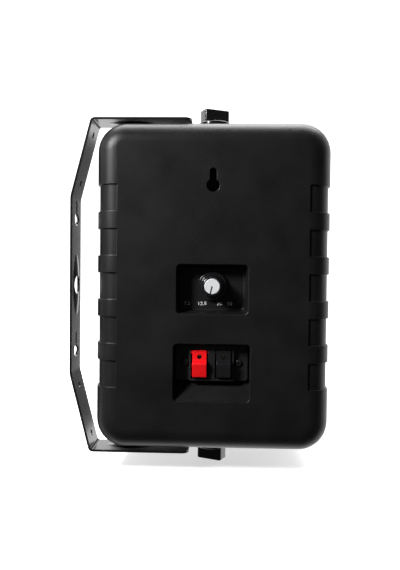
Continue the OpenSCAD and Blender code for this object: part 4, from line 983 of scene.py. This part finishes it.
def terminalBlock():
    t = terminalShape
    x, y, z = midX, t["floorY"], t["z"] + t["blockMid"]
    half = t["blockHeight"] / 2

    def slab(name, width, depth, corner):
        part = box(name, (x - width / 2, y, z - half), (x + width / 2, y + depth, z + half))
        edit(part, "EDGE")
        pick(part, "EDGE", lambda e: along(e, 1))
        roundEdges(corner, 5)
        pick(part, "EDGE", lambda e: all(v.co.y / mm > y + depth - 0.01 for v in e.verts))
        roundEdges(t["edge"], 2)
        calm()
        return part

    block = slab("terminalBlock", t["earW"], t["earD"], t["earR"])
    combine(block, slab("centre", t["centreW"], t["centreD"], t["centreR"]), "UNION")
    cuts = []
    for side in (-1, 1):
        at = x + side * leverShape["x"]
        low, high = (t["z"] + end for end in t["chamber"])
        cuts.append(box("chamber", (at - t["chamberW"] / 2, y + t["chamberFloor"], low),
                        (at + t["chamberW"] / 2, y + 12, high)))
        pinAt = (at, y + leverShape["hingeZ"], t["z"] + leverShape["hingeY"])
        cuts.append(rod("pinRoom", pinAt, t["pinRoomR"], t["pinL"], alongX, 28))
        cuts.append(box("tabSlot", (at - t["tabW"] / 2, y - 1, z - t["tabH"] / 2),
                        (at + t["tabW"] / 2, y + 2, z + t["tabH"] / 2)))
        cuts.append(rod("screwRoom", (x + side * t["screwX"], y + 2, z), t["screwR"], 10, alongY, 28))
    combine(block, together("cuts", cuts), "DIFFERENCE", True)
    edit(block, "EDGE")
    front = y + t["centreD"]
    pick(block, "EDGE", lambda e: all(abs(v.co.y / mm - front) < 0.002 for v in e.verts)
         and e.calc_face_angle(0) > 0.5)
    roundEdges(t["rimEdge"], 2)
    calm()
    return smooth(block)


def lever(name, x):
    s, t = leverShape, terminalShape
    y, z, half = t["floorY"], t["z"], s["width"] / 2
    piece = box(name, (x - half, y + s["back"], z + s["bottom"]), (x + half, y + s["face"], z + s["top"]))
    edit(piece, "FACE")
    bpy.ops.mesh.select_all(action="SELECT")
    bpy.ops.mesh.bisect(plane_co=Vector((0, 0, z + s["ledgeY"])) * mm, plane_no=(0, 0, 1))
    pick(piece, "FACE", lambda f: f.normal.y > 0.9 and middle(f).z < z + s["ledgeY"])
    raiseFace(s["crest"] - s["face"])
    crest = y + s["crest"] - 0.01
    pick(piece, "VERT", lambda v: v.co.y / mm > crest and v.co.z / mm < z + s["bottom"] + 0.01)
    bpy.ops.transform.translate(value=(0, (s["lip"] - s["crest"]) * mm, 0))
    pick(piece, "VERT", lambda v: v.co.y / mm > crest and v.co.z / mm > z + s["ledgeY"] - 0.01)
    bpy.ops.transform.translate(value=(0, 0, (s["crestY"] - s["ledgeY"]) * mm))
    pick(piece, "EDGE", lambda e: along(e, 0) and middle(e).y > crest)
    roundEdges(s["crestR"], 5)
    pick(piece, "EDGE", lambda e: along(e, 0) and middle(e).z < z + s["bottom"] + 0.01
         and middle(e).y > y + s["lip"] - 0.01)
    roundEdges(s["lipR"], 4)
    calm()
    soften(piece, s["edge"], 3, 50)
    pins = rod("pins", (x, y + s["hingeZ"], z + s["hingeY"]), s["pinR"], s["pinL"], alongX, 28)
    combine(piece, pins, "UNION")
    combine(piece, rod("wireHole", (x, y + 7, z + s["holeY"]), s["holeR"], 8, alongY, 32), "DIFFERENCE")
    edit(piece, "EDGE")
    pick(piece, "EDGE", lambda e: all(abs(v.co.y / mm - y - s["face"]) < 0.01 for v in e.verts)
         and (middle(e) - Vector((x, y + s["face"], z + s["holeY"]))).length < s["holeR"] + 0.05)
    roundEdges(s["funnel"], 2)
    calm()
    return smooth(piece)


dressed(terminalBlock(), "block_plastic", "cabinet", ("terminal_block",))
dressed(lever("redLever", midX + leverShape["x"]), "red_plastic", "red_lever", ("red_lever",))
dressed(lever("blackLever", midX - leverShape["x"]), "knob_plastic", "black_lever", ("black_lever",))
print("push terminals done")


# Camera, floor and light

view = {"place": (-98.77, 402.46, 10.07), "yaw": 2.0274, "pitch": -1.3332, "roll": 0.5753, "lens": 38.166}
light = {
    "key": {"place": (0.75, 0.72, 0.58), "size": (0.24, 0.24), "power": 23},
    "side": {"place": (0.50, 0.60, 0.62), "size": (0.14, 0.14), "power": 3.5},
    "top": {"place": (-0.12, -0.34, 0.88), "size": (1.1, 0.6), "power": 14},
}
sky = {"behind": 1.7, "front": 0.05, "turnsAt": (-0.35, 0.05)}
ground = {"size": 8, "z": -0.1225, "near": 0.6, "far": 1.0, "fade": (0.2, 0.9)}


def addCamera():
    yaw, pitch, roll = (math.radians(view[k]) for k in ("yaw", "pitch", "roll"))
    ahead = Vector((math.sin(yaw) * math.cos(pitch), -math.cos(yaw) * math.cos(pitch), math.sin(pitch)))
    right = ahead.cross(Vector((0, 0, 1))).normalized()
    up = right.cross(ahead)
    side = right * math.cos(roll) + up * math.sin(roll)
    top = up * math.cos(roll) - right * math.sin(roll)
    camera = bpy.data.objects.new("camera", bpy.data.cameras.new("camera"))
    bpy.context.scene.collection.objects.link(camera)
    camera.data.lens = view["lens"]
    camera.data.sensor_width = 36
    camera.data.clip_start = 0.01
    turned = Matrix((side, top, -ahead)).transposed().to_4x4()
    camera.matrix_world = Matrix.Translation(Vector(view["place"]) * mm) @ turned
    bpy.context.scene.camera = camera


def addFloor():
    calm()
    bpy.ops.mesh.primitive_plane_add(size=ground["size"], location=(midX * mm, 0, ground["z"]))
    floor = added("floor")
    paper = Finish("floor_paper", (0.84, 0.84, 0.84), 0.8, specular=0.2)
    x, y, _ = paper.axes()
    away = ((x - midX * mm) * (x - midX * mm) + y * y) ** 0.5
    glow = paper.step(away, *ground["fade"])
    paper.set("Emission Color", paper.blend(glow, (ground["near"],) * 3, (ground["far"],) * 3))
    paper.set("Emission Strength", 1.0)
    paper.set("Roughness", paper.grain(20, 3.0) * 0.1 + 0.75)
    floor.data.materials.append(paper.material)
    floor.visible_glossy = False
    floor.visible_diffuse = False


def addLights():
    for name, spec in light.items():
        lamp = bpy.data.lights.new(name, "AREA")
        lamp.shape = "RECTANGLE"
        lamp.size, lamp.size_y = spec["size"]
        lamp.energy = spec["power"]
        holder = bpy.data.objects.new(name, lamp)
        bpy.context.scene.collection.objects.link(holder)
        holder.location = spec["place"]
        aim = Vector((midX * mm, 0, 0)) - holder.location
        holder.rotation_mode = "QUATERNION"
        holder.rotation_quaternion = aim.to_track_quat("-Z", "Y")
    world = bpy.data.worlds.new("studio")
    bpy.context.scene.world = world
    world.use_nodes = True
    tree = world.node_tree
    background = tree.nodes["Background"]
    direction = tree.nodes.new("ShaderNodeTexCoord")
    split = tree.nodes.new("ShaderNodeSeparateXYZ")
    tree.links.new(direction.outputs["Generated"], split.inputs[0])
    fade = tree.nodes.new("ShaderNodeMapRange")
    tree.links.new(split.outputs[1], fade.inputs["Value"])
    low, high = sky["turnsAt"]
    limits = {"From Min": low, "From Max": high, "To Min": sky["behind"], "To Max": sky["front"]}
    for key, value in limits.items():
        fade.inputs[key].default_value = value
    path = tree.nodes.new("ShaderNodeLightPath")
    seen = tree.nodes.new("ShaderNodeMath")
    seen.operation = "MAXIMUM"
    tree.links.new(fade.outputs[0], seen.inputs[0])
    tree.links.new(path.outputs["Is Camera Ray"], seen.inputs[1])
    tree.links.new(seen.outputs[0], background.inputs["Strength"])
    background.inputs["Color"].default_value = (1, 1, 1, 1)
    bpy.context.scene.view_settings.view_transform = "Standard"


addCamera()
addFloor()
addLights()

print("camera and light placed")
